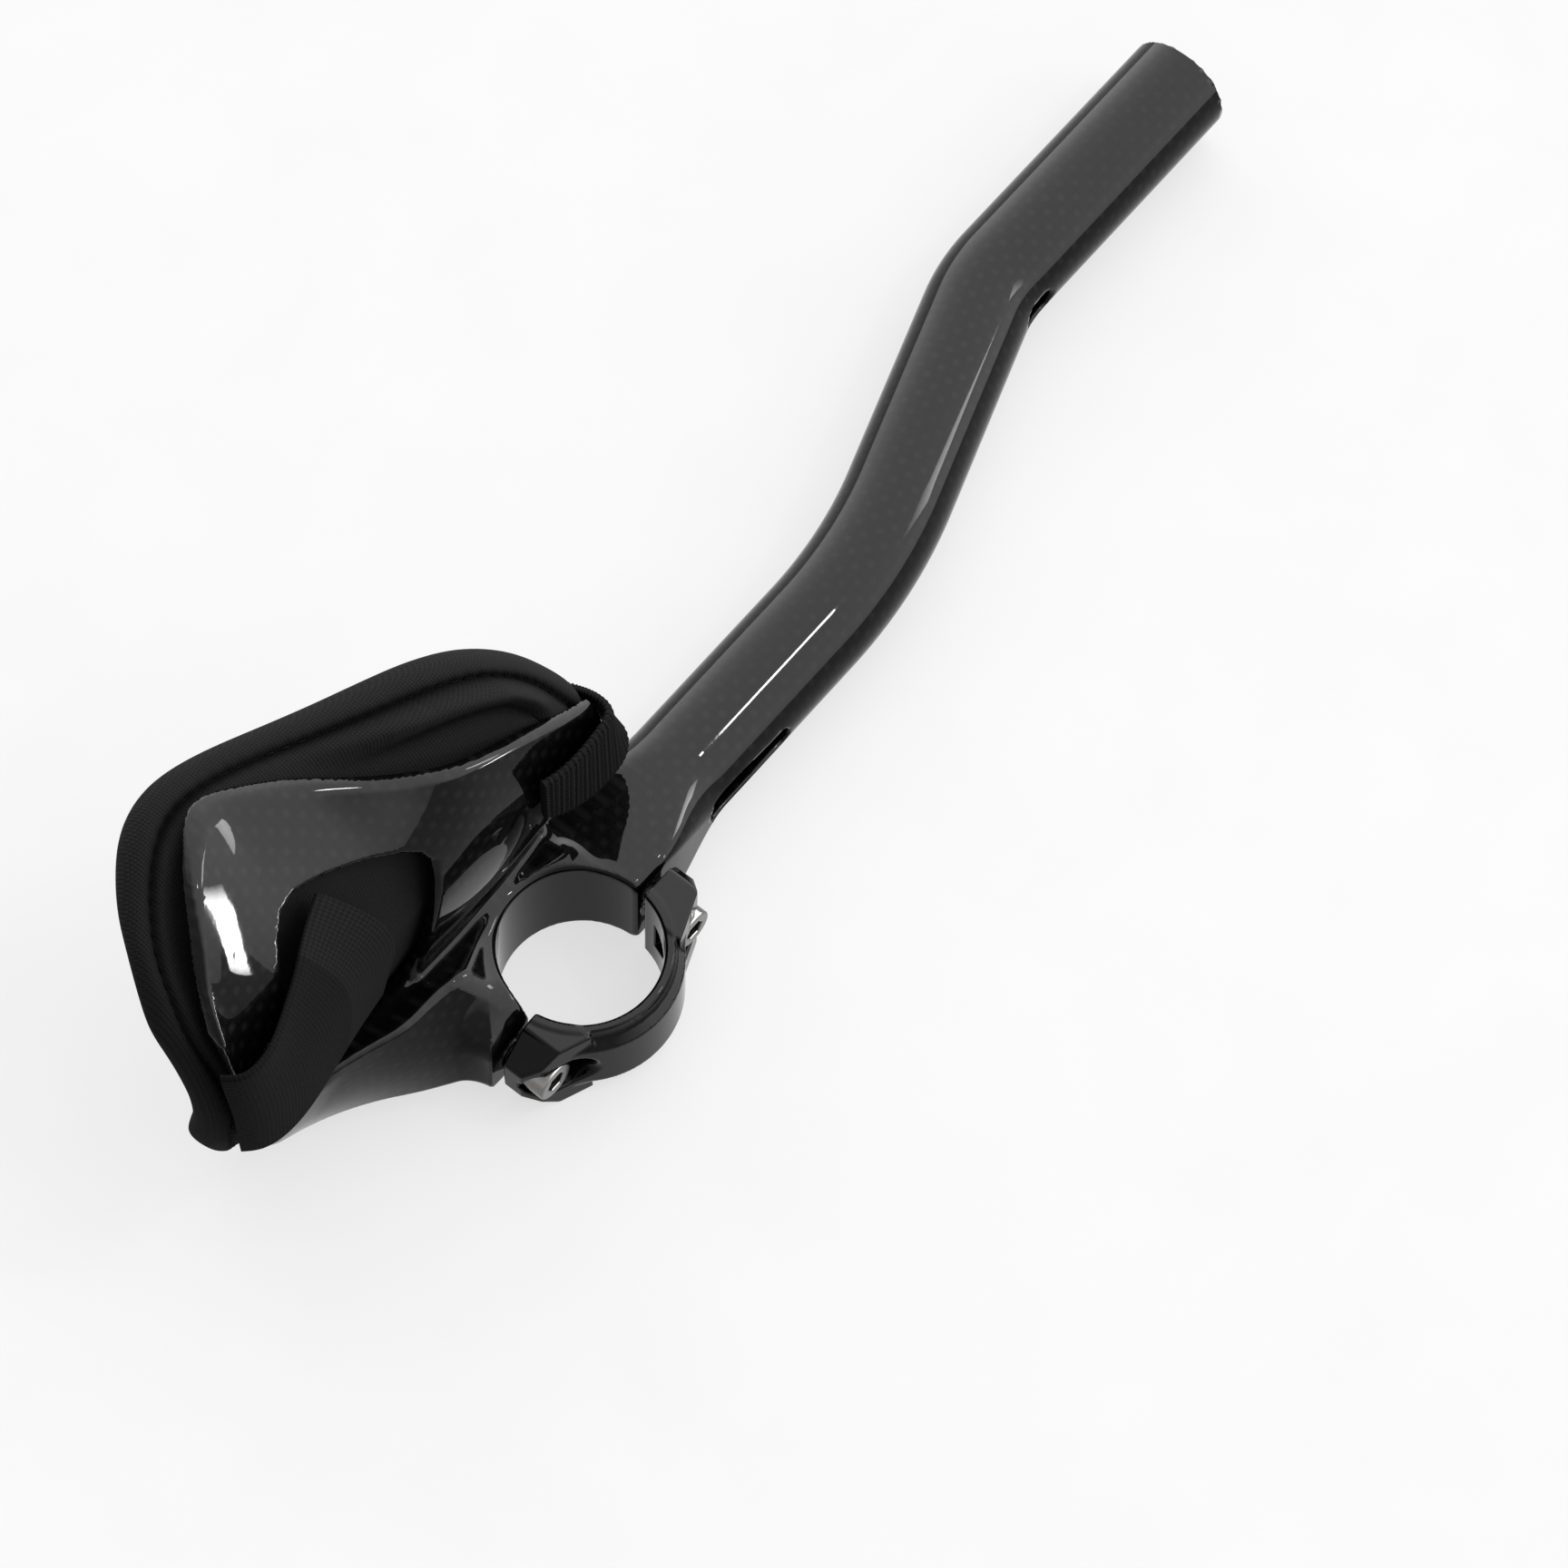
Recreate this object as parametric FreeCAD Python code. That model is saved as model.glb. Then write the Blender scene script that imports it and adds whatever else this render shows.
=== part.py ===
import FreeCAD, Part
import math
import os

V = FreeCAD.Vector
os.makedirs("parts", exist_ok=True)

# ---------------------------------------------------------------- dimensions, mm
# frame: X forward along the extension, Y up in use, Z along the clamp bore
BORE_R = 15.9            # handlebar centre section, 31.8
CLAMP_HALF = 11.0        # half the clamp width
SADDLE_FACE_Y = -0.7     # split face of the saddle half
CAP_FACE_Y = -2.3        # split face of the cap
CAP_R = 19.8
BORE_CHAMFER = 0.7
BOLT_X = 20.5
BOLT_SHANK_R = 2.5
BOLT_HEAD_R = 4.25
BOLT_HEAD_H = 5.0
BOLT_SEAT_Y = -6.0
BOLT_END_Y = 9.0
BOLT_HOLE_R = 2.8
HEX_R = 2.31             # 4 mm across flats
HEX_DEPTH = 3.0
INSERT_R = 3.6
INSERT_BORE_R = 2.55
INSERT_END_Y = 11.0

TUBE_R = 11.1            # 22.2 extension
TUBE_BORE_R = 9.3
TUBE_START_X = 13.0
TUBE_HOLLOW_X = 37.0
TUBE_BASE_Y = 13.0
TUBE_END_Y = 34.8
TUBE_END_X = 234.5
TUBE_SLOPE = math.radians(18.5)
BEND1_X = 104.0
BEND1_R = 110.0
BEND2_R = 38.0

SLOT_X0, SLOT_X1, SLOT_W = 41.0, 66.0, 6.0
PORT_X, PORT_L, PORT_W = 168.0, 9.0, 5.0

CUP_T = 3.0              # carbon shell thickness
# cradle shell, lower face: x, inboard rim (y, z), keel (y, z), outboard rim (y, z)
CUP = [
    (28.4, (19.6, 26.4), (17.0, 35.0), (19.6, 43.2)),
    (18.0, (21.0, 16.0), (16.9, 35.0), (20.4, 49.5)),
    (10.0, (22.4, 9.0), (16.8, 35.0), (21.0, 54.0)),
    (0.0, (23.6, 2.5), (16.7, 35.0), (22.0, 59.5)),
    (-7.0, (24.2, -0.5), (16.7, 35.0), (23.6, 63.0)),
    (-14.4, (24.6, -3.0), (16.7, 35.2), (27.4, 66.0)),
    (-22.0, (24.8, -4.5), (16.7, 35.4), (32.4, 69.4)),
    (-30.0, (24.9, -5.5), (16.7, 35.6), (38.4, 73.0)),
    (-38.0, (25.0, -6.0), (16.7, 35.8), (42.6, 76.8)),
    (-46.0, (25.0, -6.0), (16.6, 36.0), (44.9, 80.4)),
    (-51.0, (24.9, -5.8), (16.5, 36.0), (43.4, 82.0)),
    (-56.0, (24.7, -5.0), (16.3, 36.0), (39.8, 82.0)),
    (-61.0, (24.3, -1.2), (16.0, 36.0), (35.6, 80.8)),
    (-66.0, (23.6, 4.6), (15.7, 36.0), (30.8, 77.2)),
    (-70.5, (22.4, 15.0), (15.3, 36.0), (25.8, 71.2)),
    (-74.5, (20.4, 26.0), (15.0, 36.0), (17.6, 63.5)),
]
# opening between the two rear arms of the cradle, in plan (x, z)
NOTCH = [(-90.0, 17.0), (-52.0, 17.0), (-40.0, 16.4), (-32.0, 16.2), (-27.5, 17.2), (-24.6, 21.0), (-22.6, 28.0), (-20.6, 37.0), (-18.4, 46.0),
         (-18.0, 49.6), (-19.2, 52.6), (-22.4, 55.4), (-28.0, 58.4), (-37.0, 62.2), (-44.0, 64.8), (-48.4, 65.2), (-52.4, 63.4), (-55.2, 60.0),
         (-57.0, 56.0), (-59.4, 53.0), (-64.0, 51.4), (-90.0, 51.0)]

PAD_T = 13.0
PAD_TAIL_T = 8.0         # the pad thins towards its rear end
PAD_TAPER_X = -54.0      # from here on
PAD_SKIN = 0.8
PAD_GAP = 0.4
# arm pad, lower face: x, inboard edge (y, z), keel (y, z), outboard edge (y, z)
PAD = [
    (29.5, (22.6, 27.4), (21.2, 35.0), (22.9, 41.6)),
    (25.0, (23.6, 19.6), (20.9, 35.0), (25.2, 50.6)),
    (18.0, (24.8, 12.0), (20.7, 35.0), (28.8, 60.0)),
    (8.0, (26.2, 2.6), (20.5, 35.0), (33.2, 67.2)),
    (-8.0, (27.4, -3.8), (20.3, 35.0), (39.2, 71.6)),
    (-25.0, (28.2, -6.4), (20.2, 35.5), (45.6, 75.0)),
    (-42.0, (28.6, -7.2), (20.1, 36.0), (51.0, 78.6)),
    (-52.0, (28.4, -7.2), (20.0, 36.0), (50.9, 80.2)),
    (-62.0, (27.6, -5.6), (19.6, 36.0), (46.2, 79.0)),
    (-70.5, (26.0, 2.0), (19.2, 36.0), (38.8, 75.2)),
    (-76.2, (24.0, 12.4), (18.8, 36.0), (31.4, 69.0)),
    (-79.8, (21.8, 25.0), (18.8, 36.0), (25.2, 58.6)),
]

STRAP_T = 1.8
# front strap: its outboard and its inboard edge
FRONT_STRAP = ([(31.2, 31.5, 33.0), (31.4, 27.5, 35.0), (31.2, 23.6, 38.0), (30.6, 20.4, 40.0), (28.0, 16.2, 42.0),
                (22.4, 14.5, 44.0), (15.0, 14.0, 46.0), (10.4, 14.4, 47.0), (7.6, 15.0, 48.0)],
               [(34.6, 32.0, 20.0), (36.8, 27.5, 19.5), (37.0, 23.4, 19.8), (36.0, 19.4, 21.0), (32.4, 16.0, 22.6),
                (26.4, 14.4, 24.4), (18.5, 13.8, 27.4), (12.0, 14.2, 31.0), (7.8, 15.0, 34.0)])
# rear strap: its path in X, Y at several places across its width (Z)
REAR_STRAP = {60.5: [(-40.0, 27.8), (-46.7, 24.6), (-55.3, 19.8), (-62.0, 16.6), (-70.4, 13.8), (-75.6, 14.6), (-78.0, 17.2)],
              52.0: [(-34.6, 21.4), (-43.4, 19.6), (-53.6, 16.8), (-62.2, 14.8), (-70.0, 13.3), (-75.0, 14.2), (-77.6, 16.6)],
              42.0: [(-32.0, 18.0), (-42.0, 17.2), (-52.4, 15.3), (-62.6, 13.5), (-69.6, 13.0), (-74.2, 14.0), (-77.0, 16.2)],
              33.0: [(-33.2, 18.0), (-42.0, 16.9), (-52.0, 15.0), (-63.2, 13.1), (-69.3, 13.0), (-73.8, 14.2), (-76.5, 16.5)],
              25.0: [(-36.8, 17.7), (-42.8, 16.7), (-51.2, 15.1), (-63.4, 12.9), (-69.2, 13.1), (-73.3, 14.6), (-75.8, 16.9)]}


# ---------------------------------------------------------------- helpers
def prism_z(points, z0, z1):
    """Straight prism: outline in X, Y drawn out along Z."""
    loop = [V(x, y, z0) for x, y in points]
    return Part.Face(Part.makePolygon(loop + [loop[0]])).extrude(V(0, 0, z1 - z0))


def prism_y(points, y0, y1):
    """Straight prism: outline in X, Z drawn out along Y."""
    loop = [V(x, y0, z) for x, z in points]
    return Part.Face(Part.makePolygon(loop + [loop[0]])).extrude(V(0, y1 - y0, 0))


def round_upright(solid, axis, radius):
    """Rounds the straight edges of a prism that run along the given axis."""
    chosen = []
    for e in solid.Edges:
        d = e.Vertexes[1].Point.sub(e.Vertexes[0].Point)
        d.normalize()
        if abs(d.dot(axis)) > 0.999:
            chosen.append(e)
    return solid.makeFillet(radius, chosen)


def arc_of(inner, keel, outer, n=6):
    """Points of a trough arc from the inboard rim through the keel to the outboard rim."""
    pts = []
    for k in range(-n, n + 1):
        s = k / float(n)
        rim = outer if s >= 0 else inner
        pts.append((keel[0] + (rim[0] - keel[0]) * s * s, keel[1] + (rim[1] - keel[1]) * abs(s)))
    return pts


def shifted(pts, dist):
    """The same arc moved square to itself, towards the open side."""
    out = []
    for i, (y, z) in enumerate(pts):
        a = pts[max(i - 1, 0)]
        b = pts[min(i + 1, len(pts) - 1)]
        ty, tz = b[0] - a[0], b[1] - a[1]
        length = math.hypot(ty, tz)
        out.append((y + dist * tz / length, z - dist * ty / length))
    return out


def pad_top(x):
    """Thickness of the pad at x."""
    t = min(max((PAD_TAPER_X - x) / (PAD_TAPER_X - PAD[-1][0]), 0.0), 1.0)
    return PAD_T + (PAD_TAIL_T - PAD_T) * t * t * (3 - 2 * t)


def trough(rows, low, high, x_grow=0.0, trim=0.0):
    """Solid between two shifted arcs of every row; the upper one may change with x."""
    wires = []
    first, last = rows[0][0], rows[-1][0]
    for x, inner, keel, outer in rows:
        top = high(x) if callable(high) else high
        if x == first:
            x += x_grow
        elif x == last:
            x -= x_grow
        base = arc_of(inner, keel, outer)
        if trim:
            f_in = 1.0 - trim / abs(keel[1] - inner[1])
            f_out = 1.0 - trim / abs(outer[1] - keel[1])
            inner2 = (keel[0] + (inner[0] - keel[0]) * f_in ** 2, keel[1] + (inner[1] - keel[1]) * f_in)
            outer2 = (keel[0] + (outer[0] - keel[0]) * f_out ** 2, keel[1] + (outer[1] - keel[1]) * f_out)
            base = arc_of(inner2, keel, outer2)
        lo = [V(x, y, z) for y, z in shifted(base, low)]
        hi = [V(x, y, z) for y, z in shifted(base, top)]
        c1 = Part.BSplineCurve()
        c1.interpolate(lo)
        c2 = Part.BSplineCurve()
        c2.interpolate(list(reversed(hi)))
        wires.append(Part.Wire([c1.toShape(), Part.makeLine(lo[-1], hi[-1]), c2.toShape(), Part.makeLine(hi[0], lo[0])]))
    return Part.makeLoft(wires, True, False)


def strap(edges):
    """Band of even thickness drawn through its paths, from one edge to the other."""
    wires = []
    for z in sorted(edges):
        curve = Part.BSplineCurve()
        curve.interpolate([V(x, y, z) for x, y in edges[z]])
        n = 28
        left, right = [], []
        for i in range(n + 1):
            u = curve.FirstParameter + (curve.LastParameter - curve.FirstParameter) * i / n
            p = curve.value(u)
            t = curve.tangent(u)[0]
            left.append(V(p.x - t.y * STRAP_T / 2, p.y + t.x * STRAP_T / 2, z))
            right.append(V(p.x + t.y * STRAP_T / 2, p.y - t.x * STRAP_T / 2, z))
        a = Part.BSplineCurve()
        a.interpolate(left)
        b = Part.BSplineCurve()
        b.interpolate(right[::-1])
        wires.append(Part.Wire([a.toShape(), Part.makeLine(left[-1], right[-1]), b.toShape(), Part.makeLine(right[0], left[0])]))
    return Part.makeLoft(wires, True, True)


def slanted_strap(edge_a, edge_b, n=24):
    """Band of even thickness, straight across, between two edges that run side by side."""
    curves = []
    for edge in (edge_a, edge_b):
        c = Part.BSplineCurve()
        c.interpolate([V(*p) for p in edge])
        curves.append(c)
    wires = []
    for i in range(n + 1):
        pts, tans = [], []
        for c in curves:
            u = c.FirstParameter + (c.LastParameter - c.FirstParameter) * i / n
            pts.append(c.value(u))
            tans.append(c.tangent(u)[0])
        across = pts[1].sub(pts[0])
        up = tans[0].add(tans[1]).cross(across)
        up.normalize()
        up = up * (STRAP_T / 2)
        loop = [pts[0].add(up), pts[1].add(up), pts[1].sub(up), pts[0].sub(up)]
        wires.append(Part.makePolygon(loop + [loop[0]]))
    return Part.makeLoft(wires, True, True)


def tube_path(x0, x1):
    """Centre line of the extension: straight, bend, rise, bend, straight."""
    a = TUBE_SLOPE
    t1 = BEND1_R * math.tan(a / 2)
    t2 = BEND2_R * math.tan(a / 2)
    bend2_x = BEND1_X + (TUBE_END_Y - TUBE_BASE_Y) / math.tan(a)
    p0 = V(x0, TUBE_BASE_Y, 0)
    p1 = V(BEND1_X - t1, TUBE_BASE_Y, 0)
    m1 = V(p1.x + BEND1_R * math.sin(a / 2), TUBE_BASE_Y + BEND1_R * (1 - math.cos(a / 2)), 0)
    p2 = V(BEND1_X + t1 * math.cos(a), TUBE_BASE_Y + t1 * math.sin(a), 0)
    p3 = V(bend2_x - t2 * math.cos(a), TUBE_END_Y - t2 * math.sin(a), 0)
    p4 = V(bend2_x + t2, TUBE_END_Y, 0)
    m2 = V(p4.x - BEND2_R * math.sin(a / 2), TUBE_END_Y - BEND2_R * (1 - math.cos(a / 2)), 0)
    p5 = V(x1, TUBE_END_Y, 0)
    return Part.Wire([Part.makeLine(p0, p1), Part.Arc(p1, m1, p2).toShape(), Part.makeLine(p2, p3),
                      Part.Arc(p3, m2, p4).toShape(), Part.makeLine(p4, p5)])


def swept_round(x0, x1, radius):
    path = tube_path(x0, x1)
    ring = Part.Wire([Part.makeCircle(radius, V(x0, TUBE_BASE_Y, 0), V(1, 0, 0))])
    return path.makePipeShell([ring], True, False)


def bore_tool():
    """Handlebar bore with a small lead-in on both faces."""
    tool = Part.makeCylinder(BORE_R, 160, V(0, 0, -60))
    for sign in (-1, 1):
        z = sign * CLAMP_HALF
        tool = tool.fuse(Part.makeCone(BORE_R + BORE_CHAMFER, BORE_R, BORE_CHAMFER, V(0, 0, z), V(0, 0, -sign)))
    return tool


# ---------------------------------------------------------------- carbon body
tube = swept_round(TUBE_START_X, TUBE_END_X, TUBE_R)

saddle = prism_z([(26.5, SADDLE_FACE_Y), (32.0, 3.4), (32.6, 18.0), (25.0, 22.6), (8.0, 24.6), (-8.0, 24.6),
                  (-18.0, 21.0), (-26.0, 12.0), (-27.0, SADDLE_FACE_Y)], -CLAMP_HALF, CLAMP_HALF)
saddle = round_upright(saddle, V(0, 0, 1), 1.6)

# wing that carries the rear inboard arm: deep beside the floor, shallower towards the rear opening
wing_in = prism_z([(-20.0, 3.0), (-25.0, SADDLE_FACE_Y + 0.4), (-30.0, 4.6), (-37.0, 10.4), (-48.0, 18.6), (-57.0, 22.2), (-60.0, 25.5),
                   (-40.0, 26.5), (-20.0, 25.0)], -10.9, 3.0)
wing_mid = prism_z([(-18.0, 5.0), (-25.0, 5.4), (-32.0, 9.0), (-40.0, 13.2), (-48.0, 17.2), (-56.0, 20.0), (-58.0, 24.0),
                    (-40.0, 25.5), (-18.0, 24.0)], 3.0, 11.0)
wing_out = prism_z([(-19.0, 12.0), (-25.0, 10.6), (-31.0, 11.2), (-36.6, 11.8), (-42.0, 13.4), (-49.0, 15.6), (-56.0, 18.4), (-57.0, 21.0),
                    (-40.0, 23.0), (-19.0, 22.0)], 11.0, 16.6)

cup = trough(CUP, 0.0, CUP_T)
notch = prism_y(NOTCH, -5.0, 70.0)
cup = cup.cut(notch)

pad_room = trough(PAD, -PAD_GAP, 45.0, 8.0)

body = tube.multiFuse([saddle, wing_in, wing_mid, wing_out, cup])
body = body.cut(pad_room)
body = body.cut(bore_tool())
body = body.cut(swept_round(TUBE_HOLLOW_X, TUBE_END_X + 5.0, TUBE_BORE_R))

slot = Part.makeBox(SLOT_X1 - SLOT_X0 - SLOT_W, 12.0, SLOT_W, V(SLOT_X0 + SLOT_W / 2, -4.0, -SLOT_W / 2))
for x in (SLOT_X0 + SLOT_W / 2, SLOT_X1 - SLOT_W / 2):
    slot = slot.fuse(Part.makeCylinder(SLOT_W / 2, 12.0, V(x, -4.0, 0), V(0, 1, 0)))
body = body.cut(slot)

port = Part.makeBox(PORT_L - PORT_W, 14.0, PORT_W, V(PORT_X + PORT_W / 2, 16.0, -PORT_W / 2))
for x in (PORT_X + PORT_W / 2, PORT_X + PORT_L - PORT_W / 2):
    port = port.fuse(Part.makeCylinder(PORT_W / 2, 14.0, V(x, 16.0, 0), V(0, 1, 0)))
body = body.cut(port)

for sx in (-1, 1):
    body = body.cut(Part.makeCylinder(INSERT_R, INSERT_END_Y - SADDLE_FACE_Y + 5.0, V(sx * BOLT_X, SADDLE_FACE_Y - 5.0, 0), V(0, 1, 0)))
body = body.removeSplitter()

# ---------------------------------------------------------------- clamp cap
# ear outlines in plan (x, z); the rear ear is bevelled more than the front one
EAR_PLAN = {
    1: [(10.0, -CLAMP_HALF), (23.4, -CLAMP_HALF), (25.6, -8.6), (25.6, 8.6), (23.4, CLAMP_HALF), (10.0, CLAMP_HALF)],
    -1: [(-10.0, -CLAMP_HALF), (-19.6, -CLAMP_HALF), (-25.6, -4.4), (-25.6, 4.4), (-19.6, CLAMP_HALF), (-10.0, CLAMP_HALF)],
}
section = [(BORE_R - 2.0, -CLAMP_HALF), (17.9, -CLAMP_HALF), (18.3, -9.6), (18.8, -9.4), (CAP_R, -6.8),
           (CAP_R, 6.8), (18.8, 9.4), (18.3, 9.6), (17.9, CLAMP_HALF), (BORE_R - 2.0, CLAMP_HALF)]
loop = [V(r, 0, z) for r, z in section]
band = Part.Face(Part.makePolygon(loop + [loop[0]])).revolve(V(0, 0, 0), V(0, 0, 1), -180)
cap = band
for sx in (-1, 1):
    ear = prism_z([(sx * 13.0, -1.0), (sx * 25.6, -1.0), (sx * 25.6, -6.6), (sx * 23.0, -9.4), (sx * 13.0, -13.4)],
                  -CLAMP_HALF, CLAMP_HALF)
    ear = ear.common(prism_y(EAR_PLAN[sx], -30.0, 10.0))
    cap = cap.fuse(ear)
cap = cap.cut(Part.makeBox(80, 20, 80, V(-40, CAP_FACE_Y, -40)))
cap = cap.cut(bore_tool())
for sx in (-1, 1):
    cap = cap.cut(Part.makeCylinder(BOLT_HOLE_R, 40, V(sx * BOLT_X, -30, 0), V(0, 1, 0)))
    cap = cap.cut(Part.makeCylinder(BOLT_HEAD_R + 0.5, 20, V(sx * BOLT_X, BOLT_SEAT_Y - 20, 0), V(0, 1, 0)))
cap = cap.removeSplitter()

# ---------------------------------------------------------------- fasteners
bolts, inserts = [], []
for sx in (-1, 1):
    shank = Part.makeCylinder(BOLT_SHANK_R, BOLT_END_Y - BOLT_SEAT_Y, V(sx * BOLT_X, BOLT_SEAT_Y, 0), V(0, 1, 0))
    head = Part.makeCylinder(BOLT_HEAD_R, BOLT_HEAD_H, V(sx * BOLT_X, BOLT_SEAT_Y - BOLT_HEAD_H, 0), V(0, 1, 0))
    head = head.makeChamfer(0.5, [e for e in head.Edges if abs(e.BoundBox.YMin - (BOLT_SEAT_Y - BOLT_HEAD_H)) < 1e-6 and e.BoundBox.YLength < 1e-6])
    corners = [V(sx * BOLT_X + HEX_R * math.cos(math.radians(60 * k)), BOLT_SEAT_Y - BOLT_HEAD_H - 1, HEX_R * math.sin(math.radians(60 * k))) for k in range(6)]
    hexagon = Part.Face(Part.makePolygon(corners + [corners[0]])).extrude(V(0, HEX_DEPTH + 1, 0))
    bolts.append(shank.fuse(head).cut(hexagon).removeSplitter())
    sleeve = Part.makeCylinder(INSERT_R, INSERT_END_Y - SADDLE_FACE_Y, V(sx * BOLT_X, SADDLE_FACE_Y, 0), V(0, 1, 0))
    inserts.append(sleeve.cut(Part.makeCylinder(INSERT_BORE_R, 40, V(sx * BOLT_X, -20, 0), V(0, 1, 0))))

# ---------------------------------------------------------------- arm pad and straps
pad_outer = trough(PAD, 0.0, pad_top)
pad_inner = trough(PAD, PAD_SKIN, lambda x: pad_top(x) - PAD_SKIN, -PAD_SKIN, PAD_SKIN)
pad_cover = pad_outer.cut(pad_inner)
front_strap = slanted_strap(*FRONT_STRAP)
rear_strap = strap(REAR_STRAP)


def one_solid(shape, name):
    solids = shape.Solids
    if len(solids) != 1:
        raise RuntimeError("%s: %d solids" % (name, len(solids)))
    return solids[0]


one_solid(body, "carbon_body").exportStep("parts/carbon_body.step")
one_solid(cap, "clamp_cap").exportStep("parts/clamp_cap.step")
Part.makeCompound([one_solid(b, "bolt") for b in bolts]).exportStep("parts/clamp_bolts.step")
Part.makeCompound([one_solid(i, "insert") for i in inserts]).exportStep("parts/threaded_inserts.step")
one_solid(pad_cover, "pad_cover").exportStep("parts/pad_cover.step")
one_solid(pad_inner, "pad_foam").exportStep("parts/pad_foam.step")
one_solid(front_strap, "front_strap").exportStep("parts/front_strap.step")
one_solid(rear_strap, "rear_strap").exportStep("parts/rear_strap.step")
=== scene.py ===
import math

import bmesh
import bpy
import numpy as np
from mathutils import Matrix, Vector


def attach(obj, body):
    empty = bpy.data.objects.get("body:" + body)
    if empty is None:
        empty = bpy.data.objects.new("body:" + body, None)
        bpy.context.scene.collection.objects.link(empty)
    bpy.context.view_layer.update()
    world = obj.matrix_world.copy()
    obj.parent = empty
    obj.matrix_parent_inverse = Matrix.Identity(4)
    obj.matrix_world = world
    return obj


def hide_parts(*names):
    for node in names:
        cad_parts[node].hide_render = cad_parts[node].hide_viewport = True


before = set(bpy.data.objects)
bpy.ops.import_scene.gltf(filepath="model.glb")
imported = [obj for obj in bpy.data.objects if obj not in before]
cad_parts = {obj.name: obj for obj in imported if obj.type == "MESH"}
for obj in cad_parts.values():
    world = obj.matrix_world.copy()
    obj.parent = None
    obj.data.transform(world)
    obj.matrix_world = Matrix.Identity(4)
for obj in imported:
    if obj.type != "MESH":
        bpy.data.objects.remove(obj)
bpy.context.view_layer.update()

MM = 0.001
rng = np.random.default_rng(7)


# ------------------------------------------------------------------ small helpers
def spline(xs, ys):
    """Natural cubic spline through (xs, ys), straight beyond its ends."""
    xs, ys = np.asarray(xs, float), np.asarray(ys, float)
    order = np.argsort(xs)
    xs, ys = xs[order], ys[order]
    n = len(xs)
    h = np.diff(xs)
    a = np.zeros((n, n))
    b = np.zeros(n)
    a[0, 0] = a[-1, -1] = 1.0
    for i in range(1, n - 1):
        a[i, i - 1], a[i, i], a[i, i + 1] = h[i - 1], 2 * (h[i - 1] + h[i]), h[i]
        b[i] = 6 * ((ys[i + 1] - ys[i]) / h[i] - (ys[i] - ys[i - 1]) / h[i - 1])
    m = np.linalg.solve(a, b)

    def at(q):
        q = np.asarray(q, float)
        c = np.clip(q, xs[0], xs[-1])
        i = np.clip(np.searchsorted(xs, c) - 1, 0, n - 2)
        t = c - xs[i]
        hi = h[i]
        return (ys[i] + t * ((ys[i + 1] - ys[i]) / hi - hi * (2 * m[i] + m[i + 1]) / 6)
                + t * t * m[i] / 2 + t ** 3 * (m[i + 1] - m[i]) / (6 * hi))
    return at


def path_spline(points, n):
    """n points along a smooth curve through the given ones, by arc length."""
    p = np.asarray(points, float)
    t = np.r_[0, np.cumsum(np.linalg.norm(np.diff(p, axis=0), axis=1))]
    f = [spline(t, p[:, k]) for k in range(p.shape[1])]
    u = np.linspace(0, t[-1], 1200)
    q = np.stack([g(u) for g in f], 1)
    s = np.r_[0, np.cumsum(np.linalg.norm(np.diff(q, axis=0), axis=1))]
    v = np.linspace(0, s[-1], n)
    return np.stack([np.interp(v, s, q[:, k]) for k in range(p.shape[1])], 1)


def rmax(a, b, r):
    """Intersection with a rounded edge."""
    u, v = np.maximum(a + r, 0), np.maximum(b + r, 0)
    return np.minimum(-r, np.maximum(a, b)) + np.hypot(u, v)


def rmin(a, b, r):
    """Union with a filleted corner."""
    u, v = np.maximum(r - a, 0), np.maximum(r - b, 0)
    return np.maximum(r, np.minimum(a, b)) - np.hypot(u, v)


def smooth(a, b, x):
    t = np.clip((x - a) / (b - a), 0, 1)
    return t * t * (3 - 2 * t)


def poly_dist(px, py, poly):
    """Signed distance in the plane to a closed outline, negative inside."""
    poly = np.asarray(poly, float)
    best = np.full(px.shape, 1e18)
    inside = np.zeros(px.shape, bool)
    for i in range(len(poly)):
        ax, ay = poly[i]
        bx, by = poly[(i + 1) % len(poly)]
        ex, ey = bx - ax, by - ay
        wx, wy = px - ax, py - ay
        t = np.clip((wx * ex + wy * ey) / (ex * ex + ey * ey + 1e-12), 0, 1)
        dx, dy = wx - ex * t, wy - ey * t
        best = np.minimum(best, dx * dx + dy * dy)
        cross = (ay > py) != (by > py)
        if by != ay:
            inside ^= cross & (px < ax + (py - ay) * ex / ey)
    return np.sqrt(best) * np.where(inside, -1.0, 1.0)


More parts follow.
